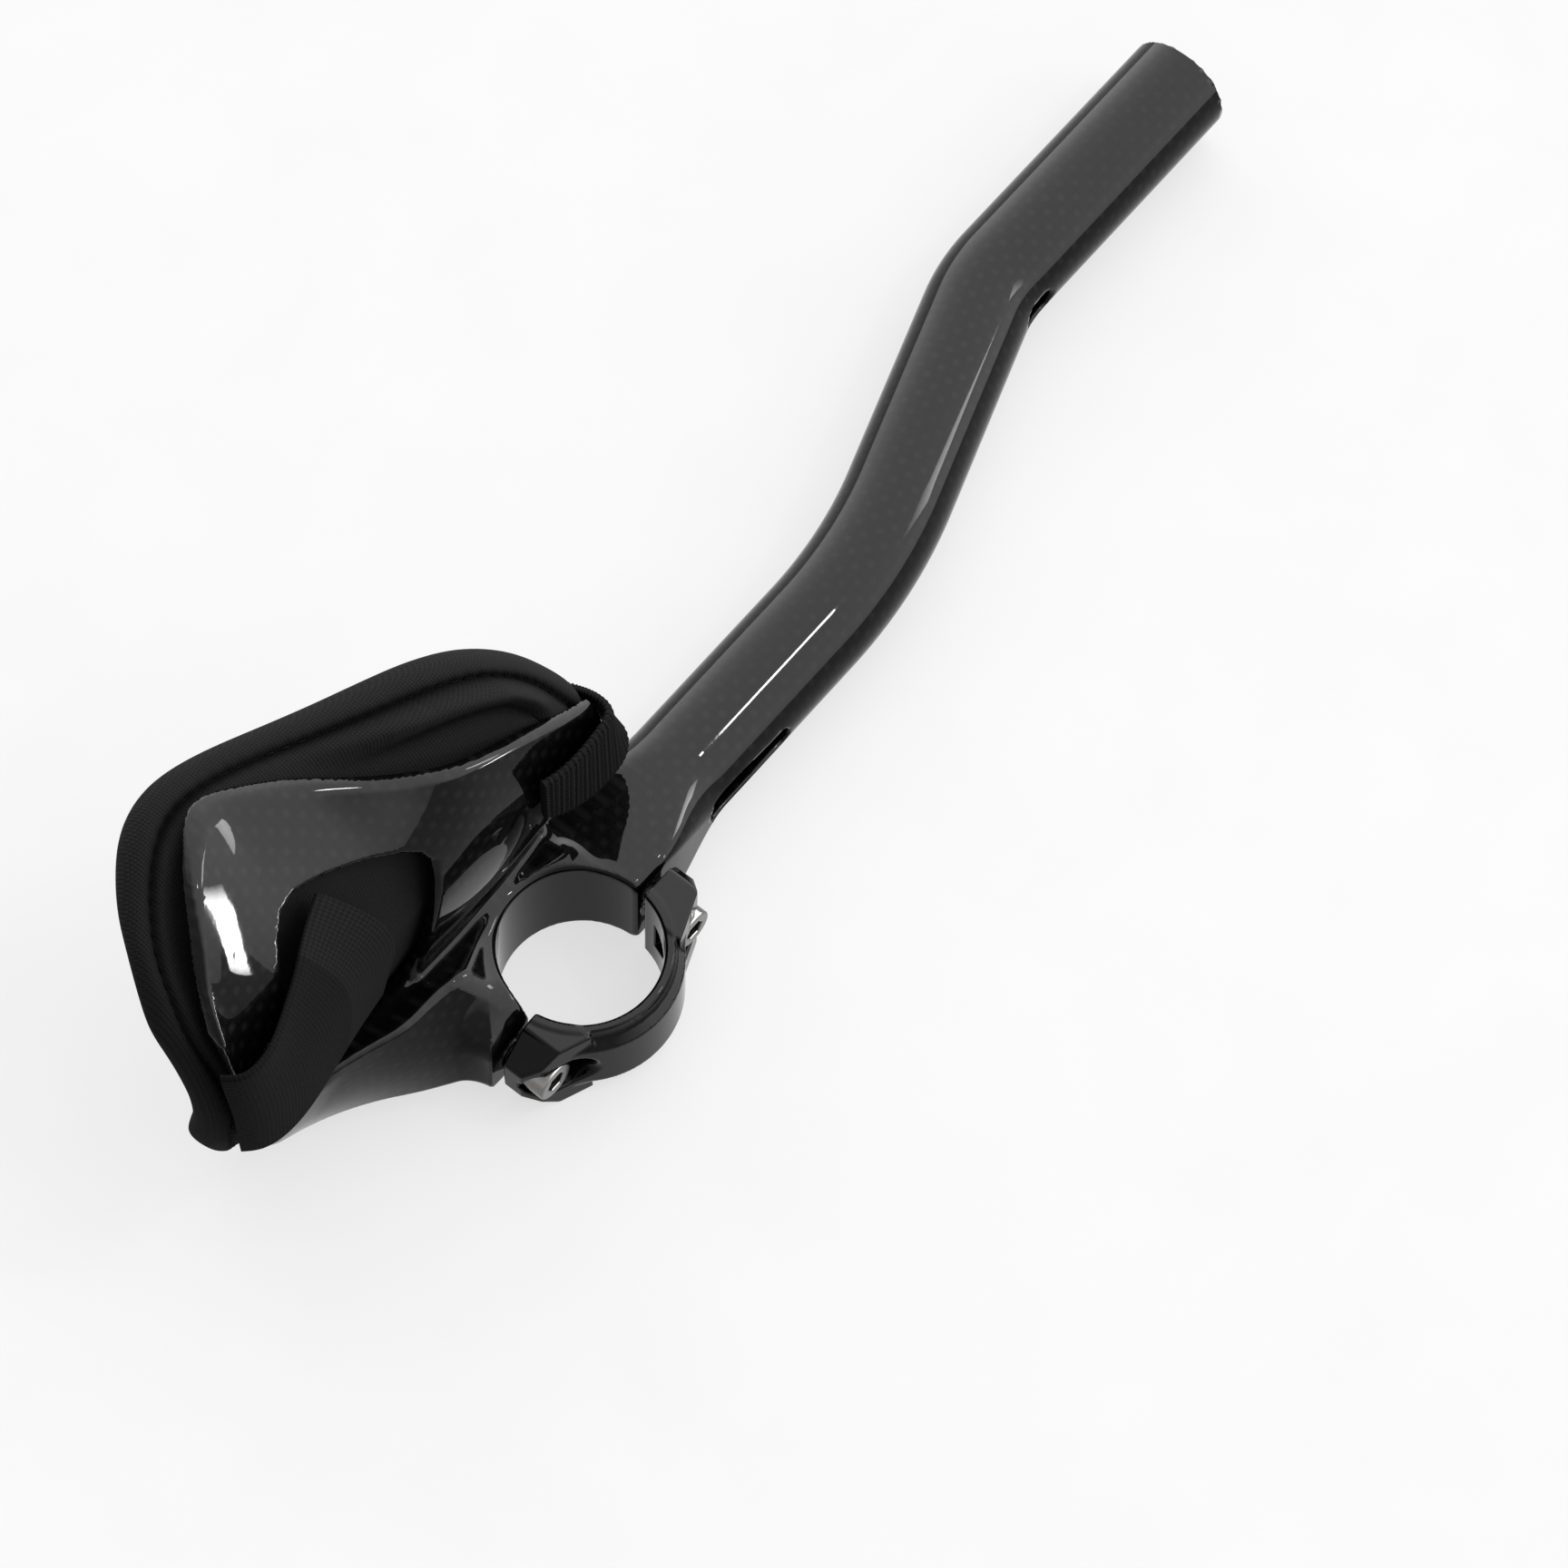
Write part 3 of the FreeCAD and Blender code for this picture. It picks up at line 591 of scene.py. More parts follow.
def build_pad():
    n = 400
    loop, t, length = pad_outline(n)
    a, b = np.array([12.0, 0.0]), np.array([-58.0, 0.0])
    ab = b - a
    m = 70
    f = np.clip(((loop - a) @ ab) / (ab @ ab), 0, 1)
    mi = np.rint(f * (m - 1)).astype(int)
    c = a + (mi / (m - 1))[:, None] * ab
    prof = path_spline(PROFILE, 96)
    # the seam rows as they fall in the resampled profile
    dist = np.linalg.norm(c - loop, axis=1)
    rows = []
    edge_out = smooth(10, 40, loop[:, 1])            # 1 on the outboard side
    lens = smooth(-27, -4, loop[:, 0]) * smooth(27, 17, loop[:, 0]) * edge_out
    for d, h in prof:
        dd = np.minimum(d, 30.0)
        q = loop + (c - loop) * (dd / 30.0 * np.minimum(30.0, dist - 2.0) / dist)[:, None] if d > 14 else loop + (c - loop) * (d / dist)[:, None]
        hh = np.full(n, h)
        if h < 1.2 and d > 5.0:                       # second, lens-shaped roll inside the seam at the outboard front
            hh = hh - lens * 4.4 * np.exp(-((d - 8.8) / 2.2) ** 2) + lens * 0.9 * np.exp(-((d - 13.4) / 2.0) ** 2)
        rows.append((q, hh, d))
    # puckers along the two seams, and slow unevenness of a hand-sewn cover
    pk = 2 * math.pi * t / 3.1
    slow = (0.28 * np.sin(2 * math.pi * t / 47.0 + 0.6) + 0.2 * np.sin(2 * math.pi * t / 29.0 + 2.0) + 0.12 * np.sin(2 * math.pi * t / 13.0))
    verts = []
    for q, hh, d in rows:
        top = hh.mean() > 6.6
        seam_d = TOP_SEAM[0] if top else LOW_SEAM[0]
        near = np.exp(-((d - seam_d) / 1.6) ** 2)
        sgn = 1 if top else -1
        bump = sgn * (0.16 * np.cos(pk) * near + slow * np.exp(-((d - 6.0) / 5.0) ** 2) * (0.9 if top else 0.5))
        verts.append(pad.place(q[:, 0], q[:, 1], hh * np.where(hh > 0, pad_share(q[:, 0]), 1.0) + bump))
    k = len(rows)
    v = np.concatenate(verts)
    faces = []
    for r in range(k - 1):
        i = np.arange(n)
        j = (i + 1) % n
        faces.append(np.stack([r * n + i, (r + 1) * n + i, (r + 1) * n + j, r * n + j], 1))
    faces = [list(x) for x in np.concatenate(faces)]
    spine = a + (np.arange(m) / (m - 1))[:, None] * ab
    base = len(v)
    low = pad.place(spine[:, 0], spine[:, 1], np.full(m, 0.2))
    high = pad.place(spine[:, 0], spine[:, 1], 9.28 * pad_share(spine[:, 0]))
    v = np.concatenate([v, low, high])
    for i in range(n):
        j = (i + 1) % n
        p, q = base + mi[i], base + mi[j]
        if p == q:
            faces.append([i, j, p])
            faces.append([(k - 1) * n + j, (k - 1) * n + i, p + m])
        else:
            faces.append([i, j, q, p])
            faces.append([(k - 1) * n + j, (k - 1) * n + i, p + m, q + m])
    ob = mesh_object("arm_pad_cover", v, faces)
    bm = bmesh.new()
    bm.from_mesh(ob.data)
    bmesh.ops.recalc_face_normals(bm, faces=bm.faces)
    bm.to_mesh(ob.data)
    bm.free()
    wv = np.concatenate([np.concatenate([r[0] for r in rows]), spine, spine])
    # painted shade: a mask that darkens the fabric's colour along the two seams and the crease beside the lens-shaped
    # roll, kept as the third value of the pad's weave attribute
    painted_crease_shade = []
    for q, hh, d in rows:
        top = hh.mean() > 6.6
        seam_d = TOP_SEAM[0] if top else LOW_SEAM[0]
        near = np.exp(-((d - seam_d) / 1.1) ** 2) + np.zeros(n)
        if not top and d > 8.0:
            near = np.maximum(near, lens * np.exp(-((d - 12.6) / 1.4) ** 2))
        painted_crease_shade.append(near)
    painted_crease_shade = np.concatenate(painted_crease_shade + [np.zeros(2 * m)])
    point_attribute(ob, "weave", np.c_[wv, painted_crease_shade])
    return ob, loop, t, length, c, dist


# ------------------------------------------------------------------ bands and threads
# front strap: its outboard and its inboard edge
FRONT_STRAP = ([(31.2, 31.5, 33.6), (31.0, 27.5, 37.0), (30.2, 23.6, 41.2), (29.6, 20.4, 43.8), (27.8, 16.2, 46.0),
                (22.4, 14.5, 46.8), (15.0, 14.0, 47.4), (10.4, 14.4, 47.8), (7.6, 15.0, 48.2)],
               [(34.6, 32.0, 20.0), (36.8, 27.5, 19.5), (37.0, 23.4, 19.8), (36.0, 19.4, 21.0), (32.4, 16.0, 22.6),
                (26.4, 14.4, 24.4), (18.5, 13.8, 27.4), (12.0, 14.2, 31.0), (7.8, 15.0, 34.0)])
# rear strap: its path in X, Y at several places across its width (Z)
REAR_STRAP = {60.5: [(-40.0, 27.8), (-46.7, 24.6), (-55.3, 19.8), (-62.0, 16.6), (-70.4, 13.8), (-75.6, 14.6), (-78.0, 17.2)],
              52.0: [(-34.6, 21.4), (-43.4, 19.6), (-53.6, 16.8), (-62.2, 14.8), (-70.0, 13.3), (-75.0, 14.2), (-77.6, 16.6)],
              42.0: [(-32.0, 18.0), (-42.0, 17.2), (-52.4, 15.3), (-62.6, 13.5), (-69.6, 13.0), (-74.2, 14.0), (-77.0, 16.2)],
              33.0: [(-33.2, 18.0), (-42.0, 16.9), (-52.0, 15.0), (-63.2, 13.1), (-69.3, 13.0), (-73.8, 14.2), (-76.5, 16.5)],
              25.0: [(-36.8, 17.7), (-42.8, 16.7), (-51.2, 15.1), (-63.4, 12.9), (-69.2, 13.1), (-73.3, 14.6), (-75.8, 16.9)]}


def band(name, edges, thick, ribs=0.0, pitch=1.2, along=True, n=200, m=26):
    """Closed strip of webbing through its paths; ribs lie across (along=True) or along it."""
    if isinstance(edges, dict):
        zs = sorted(edges, reverse=True)
        rails = np.stack([path_spline([(x, y, z) for x, y in edges[z]], n) for z in zs])
        place = np.array([(zs[0] - z) / (zs[0] - zs[-1]) for z in zs])
    else:
        rails = np.stack([path_spline(e, n) for e in edges])
        place = np.array([0.0, 1.0])
    s = np.linspace(0, 1, m)
    p = np.empty((n, m, 3))
    for k in range(3):
        for i in range(n):
            p[i, :, k] = spline(place, rails[:, i, k])(s)
    a, b = p[:, 0], p[:, -1]
    du = np.gradient(p, axis=0)
    dv = np.gradient(p, axis=1)
    nr = np.cross(du, dv)
    nr /= np.linalg.norm(nr, axis=2)[..., None]
    run = np.r_[0, np.cumsum(np.linalg.norm(np.diff((a + b) / 2, axis=0), axis=1))]
    wide = np.linalg.norm(b - a, axis=1)
    if along:
        wave = np.cos(2 * math.pi * run / pitch)[:, None] * np.ones(m)[None]
    else:
        wave = np.cos(2 * math.pi * (s[None] * wide[:, None]) / pitch)
    thin = 1 - 0.6 * np.maximum(0, 1 - np.minimum(s, 1 - s) * wide.mean() / 1.2)[None]
    up = p + nr * (thick / 2 * thin + ribs * wave)[..., None]
    dn = p - nr * (thick / 2 * thin + ribs * wave)[..., None]
    v = np.concatenate([up.reshape(-1, 3), dn.reshape(-1, 3)])
    f = []
    o = n * m
    for i in range(n - 1):
        for j in range(m - 1):
            q = i * m + j
            f.append([q, q + 1, q + m + 1, q + m])
            f.append([o + q, o + q + m, o + q + m + 1, o + q + 1])
    for i in range(n - 1):
        for j in (0, m - 1):
            q = i * m + j
            side = [q, q + m, o + q + m, o + q]
            f.append(side if j == 0 else side[::-1])
    for j in range(m - 1):
        f.append([j, o + j, o + j + 1, j + 1])
        q = (n - 1) * m + j
        f.append([q, q + 1, o + q + 1, o + q])
    ob = mesh_object(name, v, f)
    bm = bmesh.new()
    bm.from_mesh(ob.data)
    bmesh.ops.recalc_face_normals(bm, faces=bm.faces)
    bm.to_mesh(ob.data)
    bm.free()
    uv = np.stack([np.repeat(run[:, None], m, 1), s[None] * wide[:, None], np.repeat((run / run[-1])[:, None], m, 1)], -1).reshape(-1, 3)
    point_attribute(ob, "weave", np.concatenate([uv, uv]))
    area = 0.0
    g = np.cross(p[1:, :-1] - p[:-1, :-1], p[:-1, 1:] - p[:-1, :-1])
    area = np.linalg.norm(g, axis=2).sum()
    return ob, float(run[-1]), float(area / run[-1])


def stitches(name, points, out, size=0.32, length=2.3, gap=0.8):
    """Row of thread stitches along a line of points, lying on the cloth."""
    p = np.asarray(points)
    s = np.r_[0, np.cumsum(np.linalg.norm(np.diff(p, axis=0), axis=1))]
    v, f = [], []
    at = 0.4
    while at + length < s[-1]:
        u = at + np.array([0.0, 0.12, 0.3, 0.5, 0.7, 0.88, 1.0]) * length
        c = np.stack([np.interp(u, s, p[:, k]) for k in range(3)], 1)
        o = np.stack([np.interp(u, s, out[:, k]) for k in range(3)], 1)
        o /= np.linalg.norm(o, axis=1)[:, None]
        rise = np.array([-0.5, 0.0, 0.3, 0.36, 0.3, 0.0, -0.5]) * 0.8
        c = c + o * (rise * size * 2)[:, None]
        tan = np.gradient(c, axis=0)
        tan /= np.linalg.norm(tan, axis=1)[:, None]
        side = np.cross(tan, o)
        side /= np.linalg.norm(side, axis=1)[:, None]
        o2 = np.cross(side, tan)
        b0 = sum(len(q) for q in v)
        r = size * np.array([0.5, 0.85, 1, 1, 1, 0.85, 0.5])
        ring = [c + r[:, None] * (math.cos(a) * side + math.sin(a) * o2) for a in np.linspace(0, 2 * math.pi, 7)[:-1]]
        ring = np.stack(ring, 1).reshape(-1, 3)
        v.append(ring)
        for i in range(6):
            for j in range(6):
                q = b0 + i * 6
                f.append([q + j, q + (j + 1) % 6, q + 6 + (j + 1) % 6, q + 6 + j])
        f.append([b0 + j for j in range(6)][::-1])
        f.append([b0 + 36 + j for j in range(6)])
        at += length + gap
    return mesh_object(name, np.concatenate(v), f)


# ------------------------------------------------------------------ materials
def new_material(name):
    m = bpy.data.materials.new(name)
    m.use_nodes = True
    nt = m.node_tree
    nt.nodes.clear()
    out = nt.nodes.new("ShaderNodeOutputMaterial")
    bs = nt.nodes.new("ShaderNodeBsdfPrincipled")
    nt.links.new(bs.outputs[0], out.inputs[0])
    return m, nt, bs


class Nodes:
    def __init__(self, nt):
        self.nt = nt

    def link(self, a, b):
        self.nt.links.new(a, b)

    def put(self, socket, value):
        if hasattr(value, "is_output"):
            self.link(value, socket)
        else:
            socket.default_value = value

    def math(self, op, a, b=None, clamp=False):
        n = self.nt.nodes.new("ShaderNodeMath")
        n.operation = op
        n.use_clamp = clamp
        self.put(n.inputs[0], a)
        if b is not None:
            self.put(n.inputs[1], b)
        return n.outputs[0]

    def attribute(self, name):
        n = self.nt.nodes.new("ShaderNodeAttribute")
        n.attribute_name = name
        return n.outputs["Vector"]

    def split(self, v):
        n = self.nt.nodes.new("ShaderNodeSeparateXYZ")
        self.link(v, n.inputs[0])
        return n.outputs

    def join(self, x, y, z=0.0):
        n = self.nt.nodes.new("ShaderNodeCombineXYZ")
        for s, q in zip(n.inputs, (x, y, z)):
            self.put(s, q)
        return n.outputs[0]

    def noise(self, vector, scale, detail=2.0, rough=0.5):
        n = self.nt.nodes.new("ShaderNodeTexNoise")
        n.inputs["Scale"].default_value = scale
        n.inputs["Detail"].default_value = detail
        n.inputs["Roughness"].default_value = rough
        if vector is not None:
            self.link(vector, n.inputs["Vector"])
        return n.outputs[0]

    def object_co(self):
        return self.nt.nodes.new("ShaderNodeTexCoord").outputs["Object"]

    def ramp(self, fac, stops):
        n = self.nt.nodes.new("ShaderNodeValToRGB")
        e = n.color_ramp.elements
        while len(e) < len(stops):
            e.new(0.5)
        for s, (p, c) in zip(e, stops):
            s.position = p
            s.color = (c[0], c[1], c[2], 1)
        self.link(fac, n.inputs[0])
        return n.outputs[0]

    def span(self, v, a, b, c, d):
        n = self.nt.nodes.new("ShaderNodeMapRange")
        self.link(v, n.inputs[0])
        for i, q in enumerate((a, b, c, d)):
            n.inputs[i + 1].default_value = q
        return n.outputs[0]

    def bump(self, height, strength, distance, normal=None):
        n = self.nt.nodes.new("ShaderNodeBump")
        n.inputs["Strength"].default_value = strength
        n.inputs["Distance"].default_value = distance
        self.link(height, n.inputs["Height"])
        if normal is not None:
            self.link(normal, n.inputs["Normal"])
        return n.outputs[0]


def carbon_material():
    m, nt, bs = new_material("clear_coated_carbon")
    g = Nodes(nt)
    x, y, show = g.split(g.attribute("weave"))
    tow = 2.3
    su = g.math("SINE", g.math("MULTIPLY", x, math.pi / tow))
    sv = g.math("SINE", g.math("MULTIPLY", y, math.pi / tow))
    prod = g.math("MULTIPLY", su, sv)
    check = g.math("GREATER_THAN", prod, 0.0)
    dome = g.math("ABSOLUTE", prod)
    # fibres run along the tow that is on top
    fu = g.math("ABSOLUTE", g.math("SINE", g.math("MULTIPLY", x, 26.0)))
    fv = g.math("ABSOLUTE", g.math("SINE", g.math("MULTIPLY", y, 26.0)))
    fibre = g.math("ADD", g.math("MULTIPLY", check, fv), g.math("MULTIPLY", g.math("SUBTRACT", 1.0, check), fu))
    patch = g.noise(g.object_co(), 60.0, 3.0)
    tone = g.math("MULTIPLY", dome, g.math("ADD", g.math("MULTIPLY", check, 0.75), 0.2))
    tone = g.math("ADD", tone, g.math("MULTIPLY", fibre, 0.06))
    tone = g.math("MULTIPLY", g.math("MULTIPLY", tone, g.span(patch, 0.3, 0.7, 0.55, 1.05)), show)
    g.link(g.ramp(tone, [(0.0, (0.0002, 0.0002, 0.0002)), (0.4, (0.0007, 0.0007, 0.0007)), (1.0, (0.0023, 0.0023, 0.0023))]), bs.inputs["Base Color"])
    g.link(g.span(g.math("MULTIPLY", dome, show), 0.0, 1.0, 0.55, 0.45), bs.inputs["Roughness"])
    h = g.math("MULTIPLY", g.math("ADD", dome, g.math("MULTIPLY", fibre, 0.1)), show)
    g.link(g.bump(h, 0.25, 0.0003), bs.inputs["Normal"])
    # very slight orange peel in the clear coat
    peel = g.noise(g.object_co(), 420.0, 2.0)
    g.link(g.bump(peel, 0.012, 0.0004), bs.inputs["Coat Normal"])
    bs.inputs["Specular IOR Level"].default_value = 0.01
    bs.inputs["Coat Weight"].default_value = 1.0
    bs.inputs["Coat Roughness"].default_value = 0.035
    bs.inputs["Coat IOR"].default_value = 1.18
    return m


def cap_material():
    m, nt, bs = new_material("gloss_black_anodised")
    g = Nodes(nt)
    n = g.noise(g.object_co(), 900.0, 2.0)
    g.link(g.ramp(n, [(0.3, (0.0005, 0.0005, 0.0006)), (0.7, (0.0011, 0.0011, 0.0012))]), bs.inputs["Base Color"])
    g.link(g.span(n, 0.3, 0.7, 0.05, 0.09), bs.inputs["Roughness"])
    g.link(g.bump(n, 0.012, 0.0002), bs.inputs["Normal"])
    bs.inputs["Specular IOR Level"].default_value = 0.085
    return m


def steel_material(name, tint=(0.72, 0.71, 0.69)):
    m, nt, bs = new_material(name)
    g = Nodes(nt)
    x, y, z = g.split(g.object_co())
    ring = g.noise(g.join(g.math("MULTIPLY", x, 60.0), g.math("MULTIPLY", y, 2600.0), g.math("MULTIPLY", z, 60.0)), 1.0, 3.0)
    g.link(g.ramp(ring, [(0.3, tuple(c * 0.86 for c in tint)), (0.7, tint)]), bs.inputs["Base Color"])
    g.link(g.span(ring, 0.3, 0.7, 0.14, 0.26), bs.inputs["Roughness"])
    g.link(g.bump(ring, 0.06, 0.0001), bs.inputs["Normal"])
    bs.inputs["Metallic"].default_value = 1.0
    return m


def fabric_material():
    m, nt, bs = new_material("black_stretch_fabric")
    g = Nodes(nt)
    x, y, painted_crease_shade = g.split(g.attribute("weave"))
    # fine knit: columns of small loops
    cu = g.math("SINE", g.math("MULTIPLY", x, 2 * math.pi / 0.62))
    cv = g.math("SINE", g.math("ADD", g.math("MULTIPLY", y, 2 * math.pi / 0.5), g.math("MULTIPLY", cu, 0.9)))
    knit = g.math("ADD", g.math("MULTIPLY", cu, 0.5), g.math("MULTIPLY", cv, 0.5))
    fuzz = g.noise(g.object_co(), 1800.0, 3.0, 0.7)
    broad = g.noise(g.object_co(), 38.0, 3.0)
    tone = g.math("ADD", g.span(knit, -1.0, 1.0, 0.0, 0.5), g.math("ADD", g.math("MULTIPLY", fuzz, 0.3), g.math("MULTIPLY", broad, 0.3)))
    # painted shade: the base colour darkens to a tenth along the seam creases
    tone = g.math("MULTIPLY", tone, g.span(painted_crease_shade, 0.0, 1.0, 1.0, 0.1))
    g.link(g.ramp(tone, [(0.05, (0.0003, 0.0003, 0.0003)), (0.3, (0.0019, 0.0019, 0.0019)), (0.6, (0.0034, 0.0034, 0.0035)), (1.0, (0.0068, 0.0068, 0.0070))]), bs.inputs["Base Color"])
    g.link(g.span(broad, 0.3, 0.7, 0.82, 0.95), bs.inputs["Roughness"])
    h = g.math("ADD", knit, g.math("MULTIPLY", fuzz, 0.8))
    g.link(g.bump(h, 0.35, 0.00018), bs.inputs["Normal"])
    bs.inputs["Specular IOR Level"].default_value = 0.024
    bs.inputs["Sheen Weight"].default_value = 0.004
    bs.inputs["Sheen Roughness"].default_value = 0.45
    return m


def webbing_material(name, pitch, light, patch=None):
    m, nt, bs = new_material(name)
    g = Nodes(nt)
    x, y, along = g.split(g.attribute("weave"))
    rib = g.math("SINE", g.math("MULTIPLY", y, 2 * math.pi / pitch))
    cross = g.math("SINE", g.math("MULTIPLY", x, 2 * math.pi / 0.8))
    weave = g.math("ADD", g.math("MULTIPLY", rib, 0.6), g.math("MULTIPLY", cross, 0.4))
    fuzz = g.noise(g.object_co(), 1500.0, 3.0, 0.7)
    tone = g.math("ADD", g.span(weave, -1.0, 1.0, 0.0, 0.55), g.math("MULTIPLY", fuzz, 0.45))
    if patch:                       # the end that holds the pad is a lighter woven patch
        tone = g.math("MULTIPLY", tone, g.span(along, patch - 0.01, patch + 0.01, 1.0, 0.45))
    a, b = 0.004 * light, 0.017 * light
    g.link(g.ramp(tone, [(0.15, (a, a, a * 1.05)), (1.0, (b, b, b * 1.04))]), bs.inputs["Base Color"])
    g.link(g.span(fuzz, 0.3, 0.7, 0.75, 0.92), bs.inputs["Roughness"])
    h = g.math("ADD", weave, g.math("MULTIPLY", fuzz, 0.6))
    g.link(g.bump(h, 0.4, 0.00025), bs.inputs["Normal"])
    bs.inputs["Specular IOR Level"].default_value = 0.024
    bs.inputs["Sheen Weight"].default_value = 0.004
    bs.inputs["Sheen Roughness"].default_value = 0.4
    return m


def plain_material(name, low, high, rough, scale=800.0):
    m, nt, bs = new_material(name)
    g = Nodes(nt)
    n = g.noise(g.object_co(), scale, 3.0)
    g.link(g.ramp(n, [(0.3, low), (0.7, high)]), bs.inputs["Base Color"])
    g.link(g.span(n, 0.3, 0.7, rough - 0.06, rough + 0.06), bs.inputs["Roughness"])
    g.link(g.bump(n, 0.15, 0.0002), bs.inputs["Normal"])
    bs.inputs["Specular IOR Level"].default_value = 0.024
    return m


def wear(ob, material):
    ob.data.materials.clear()
    ob.data.materials.append(material)


CARBON, CAP_M = carbon_material(), cap_material()
STEEL = steel_material("bright_stainless", (0.17, 0.167, 0.163))
INSERT_M = steel_material("turned_aluminium", (0.62, 0.63, 0.65))
FABRIC = fabric_material()
WEB_FRONT = webbing_material("ribbed_elastic", 1.1, 0.2)
WEB_REAR = webbing_material("fine_elastic", 1.0, 0.26, 0.3)
THREAD = plain_material("black_thread", (0.0005, 0.0005, 0.0005), (0.0011, 0.0011, 0.0011), 0.8, 2500.0)

# ------------------------------------------------------------------ pieces
body = build_body()
wear(body, CARBON)
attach(body, "root")
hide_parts("carbon_body")

cap = grid_solid("clamp_cap_moulded", cap_at, (-27.0, -21.0, -12.0), (27.0, -1.0, 12.2), 0.42)
wear(cap, CAP_M)
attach(cap, "root")
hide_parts("clamp_cap")

for tag, cx in (("front", BOLT_X), ("rear", -BOLT_X)):
    b = grid_solid("clamp_bolt_" + tag, bolt_sdf(cx), (cx - 5.0, -11.8, -5.0), (cx + 5.1, 9.8, 5.1), 0.28)
    wear(b, STEEL)
    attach(b, "root")
    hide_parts("clamp_bolts")
wear(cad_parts["threaded_inserts"], INSERT_M)

padob, loop, t, length, centre, reach = build_pad()
wear(padob, FABRIC)
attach(padob, "root")
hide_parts("pad_cover", "pad_foam")


def on_pad(sel, d, h):
    q = loop[sel] + (centre[sel] - loop[sel]) * (d / reach[sel])[:, None]
    hh = h * pad_share(q[:, 0])
    p = pad.place(q[:, 0], q[:, 1], hh)
    o = pad.place(q[:, 0], q[:, 1], hh + 1.0) - p
    return p, o


ring = np.r_[np.arange(len(loop)), 0]
p, o = on_pad(ring, *LOW_SEAM)
away = p - pad.place(centre[ring][:, 0], centre[ring][:, 1], np.full(len(ring), 6.0))
away /= np.linalg.norm(away, axis=1)[:, None]
low_thread = stitches("pad_edge_stitches", p, 0.3 * away - o, size=0.24, length=2.1, gap=1.1)
wear(low_thread, THREAD)
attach(low_thread, "root")
p, o = on_pad(ring, *TOP_SEAM)
top_thread = stitches("pad_panel_stitches", p, o, size=0.24, length=2.1, gap=1.1)
wear(top_thread, THREAD)
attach(top_thread, "root")

front, f_len, f_wide = band("front_elastic_strap", FRONT_STRAP, 1.8, ribs=0.16, pitch=1.3, n=320, m=30)
wear(front, WEB_FRONT)
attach(front, "root")
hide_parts("front_strap")

rear, r_len, r_wide = band("rear_elastic_strap", REAR_STRAP, 1.4, n=220, m=60)
wear(rear, WEB_REAR)
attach(rear, "root")
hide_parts("rear_strap")

# ------------------------------------------------------------------ stage, light, camera
FLOOR_Z = -11.15
me = bpy.data.meshes.new("floor")
ring = [(0.08 + 0.45 * math.cos(a), 0.45 * math.sin(a), FLOOR_Z * MM) for a in np.linspace(0, 2 * math.pi, 97)[:-1]]
me.from_pydata(ring, [], [list(range(len(ring)))])
floor = bpy.data.objects.new("floor", me)
bpy.context.scene.collection.objects.link(floor)
fm, nt, bs = new_material("white_floor")
g = Nodes(nt)
grain = g.noise(g.object_co(), 40.0, 2.0)
g.link(g.ramp(grain, [(0.3, (0.059, 0.059, 0.059)), (0.7, (0.062, 0.062, 0.062))]), bs.inputs["Base Color"])
bs.inputs["Emission Color"].default_value = (1.0, 1.0, 1.0, 1.0)
bs.inputs["Emission Strength"].default_value = 0.66
bs.inputs["Roughness"].default_value = 0.9
bs.inputs["Specular IOR Level"].default_value = 0.1
floor.data.materials.append(fm)

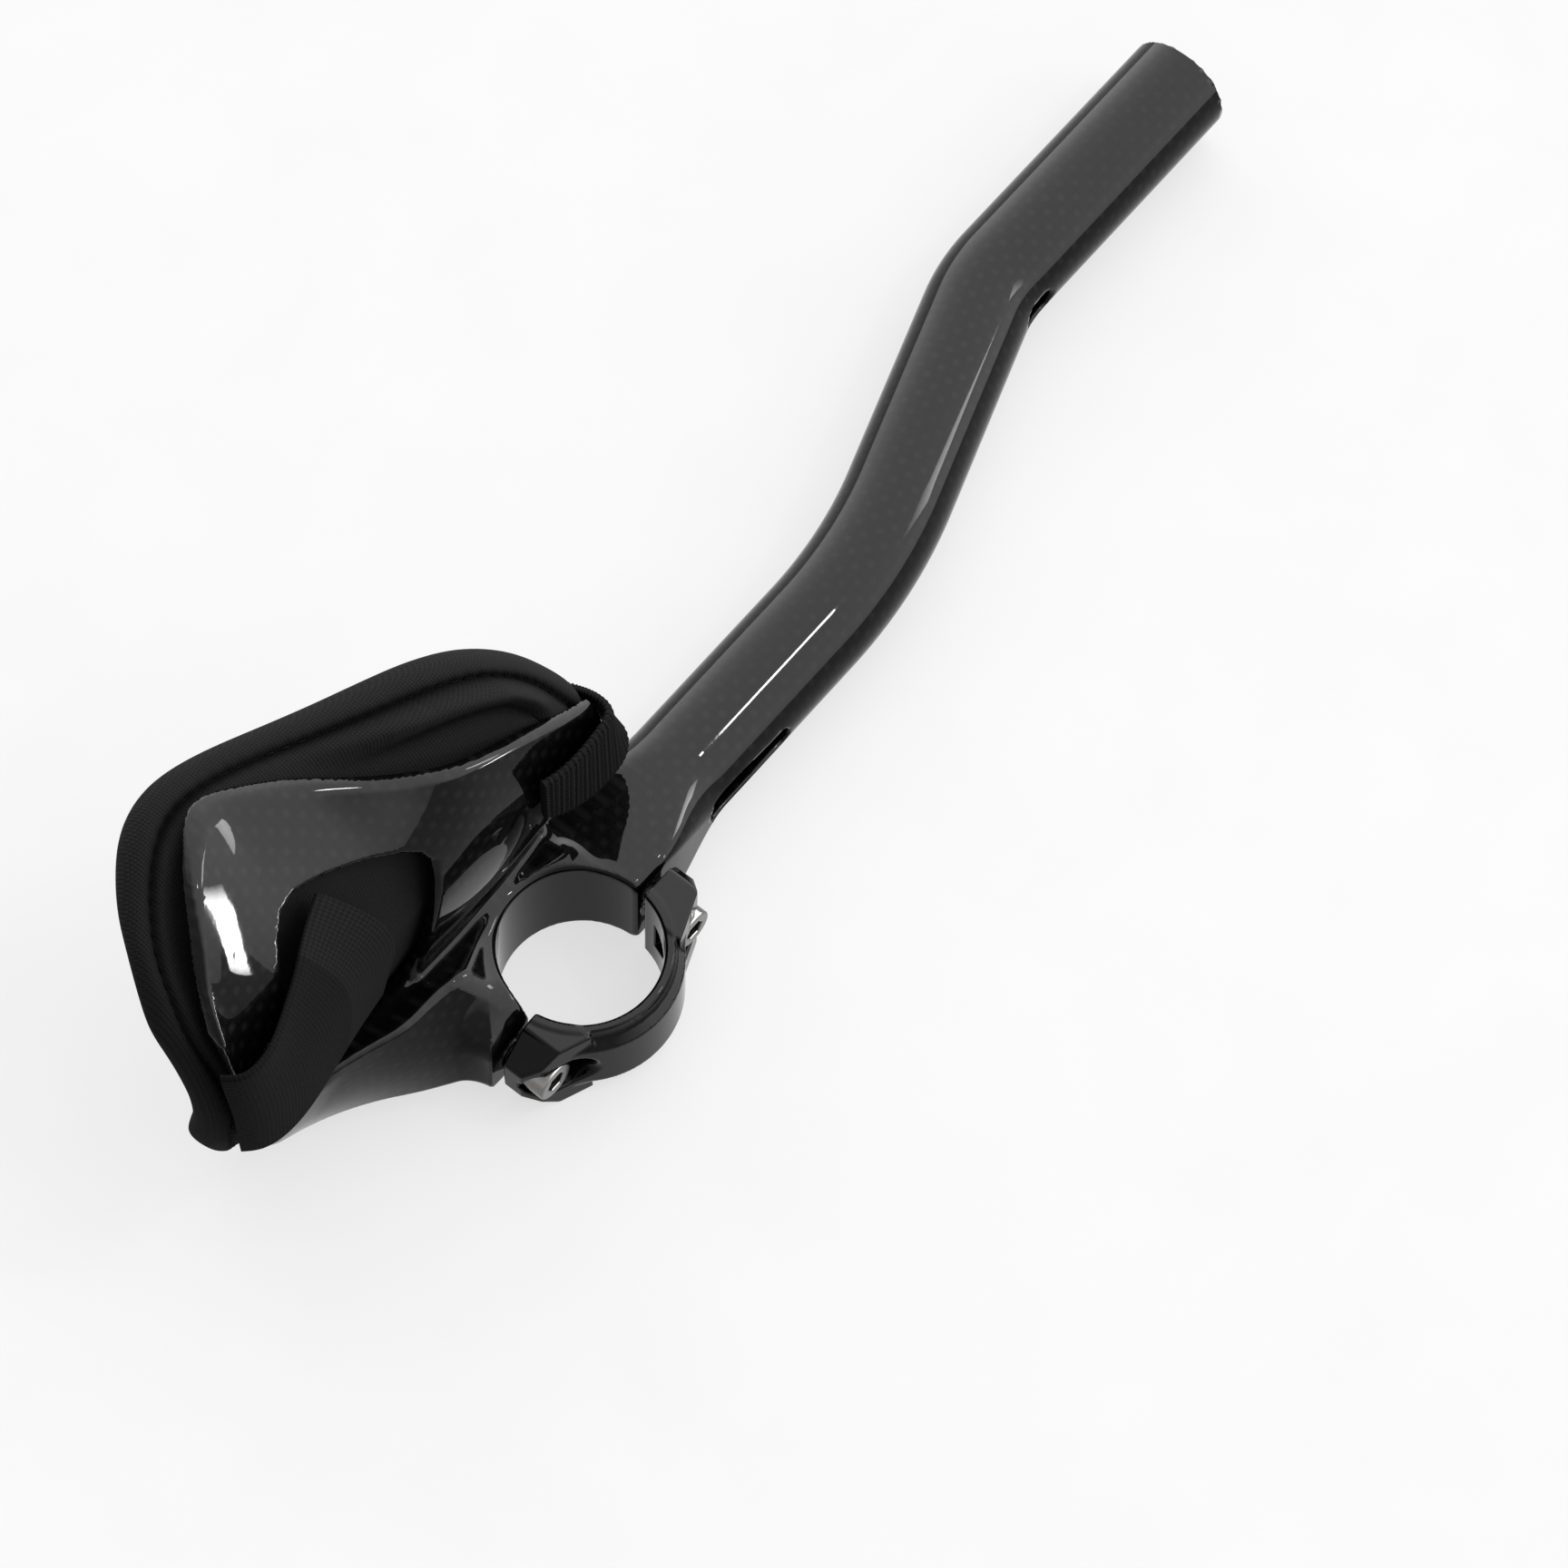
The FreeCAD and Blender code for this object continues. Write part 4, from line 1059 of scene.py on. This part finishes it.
world = bpy.data.worlds.new("tent")
bpy.context.scene.world = world
world.use_nodes = True
nt = world.node_tree
nt.nodes.clear()
g = Nodes(nt)
wo = nt.nodes.new("ShaderNodeOutputWorld")
bg = nt.nodes.new("ShaderNodeBackground")
nt.links.new(bg.outputs[0], wo.inputs[0])
gen = nt.nodes.new("ShaderNodeTexCoord").outputs["Generated"]
wx, wy, wz = g.split(gen)
grey = [(-0.3, 1.6), (-0.1, 2.6), (0.05, 3.6), (0.2, 4.1), (0.5, 4.2), (1.0, 4.4)]
g.link(g.ramp(g.span(wz, -0.3, 1.0, 0.0, 1.0), [((a + 0.3) / 1.3, (b / 4.4,) * 3) for a, b in grey]), bg.inputs[0])
# the room is darker behind the camera
g.link(g.span(wx, -0.35, 0.22, 1.5, 7.4), bg.inputs[1])


def area_light(name, at, to, power, size, size_y, along=None, spread=180.0):
    """Flat lamp at a point, facing another; along sets the direction of its long side."""
    d = bpy.data.lights.new(name, "AREA")
    d.energy = power
    d.shape = "RECTANGLE"
    d.size = size
    d.size_y = size_y
    d.spread = math.radians(spread)
    ob = bpy.data.objects.new(name, d)
    bpy.context.scene.collection.objects.link(ob)
    z = (Vector(at) - Vector(to)).normalized()
    x = Vector(along) if along else Vector((1, 0, 0))
    x = (x - z * x.dot(z)).normalized()
    y = z.cross(x)
    ob.matrix_world = Matrix(((x.x, y.x, z.x, at[0]), (x.y, y.y, z.y, at[1]), (x.z, y.z, z.z, at[2]), (0, 0, 0, 1)))
    return ob


area_light("key", (0.53, -0.50, 0.98), (0.07, 0.012, 0.01), 3.4, 0.075, 0.075)
area_light("low_strip", (0.1494, -0.1751, 0.0332), (-0.0576, 0.0329, 0.0762), 0.0148, 0.134, 0.0080, along=(0.083, 0.076, 0.056), spread=24.0)
area_light("rim_strip", (0.47, -0.30, 0.215), (-0.02, 0.03, 0.05), 0.045, 0.12, 0.09, along=(-0.12, 0.0, 0.17), spread=36.0)

cam = bpy.data.cameras.new("camera")
cam.sensor_fit = "HORIZONTAL"
cam.sensor_width = 36.0
cam.lens = 135.0
camera = bpy.data.objects.new("camera", cam)
bpy.context.scene.collection.objects.link(camera)
right = Vector((0.6254, -0.7763, 0.0211))
up = Vector((0.6828, 0.5627, 0.4599))
back = right.cross(up).normalized()
up = back.cross(right).normalized()
right.normalize()
c = Vector((-364.96, -316.05, 1005.97)) * MM
camera.matrix_world = Matrix(((right.x, up.x, back.x, c.x), (right.y, up.y, back.y, c.y), (right.z, up.z, back.z, c.z), (0, 0, 0, 1)))
bpy.context.scene.camera = camera
bpy.context.scene.view_settings.view_transform = "Standard"
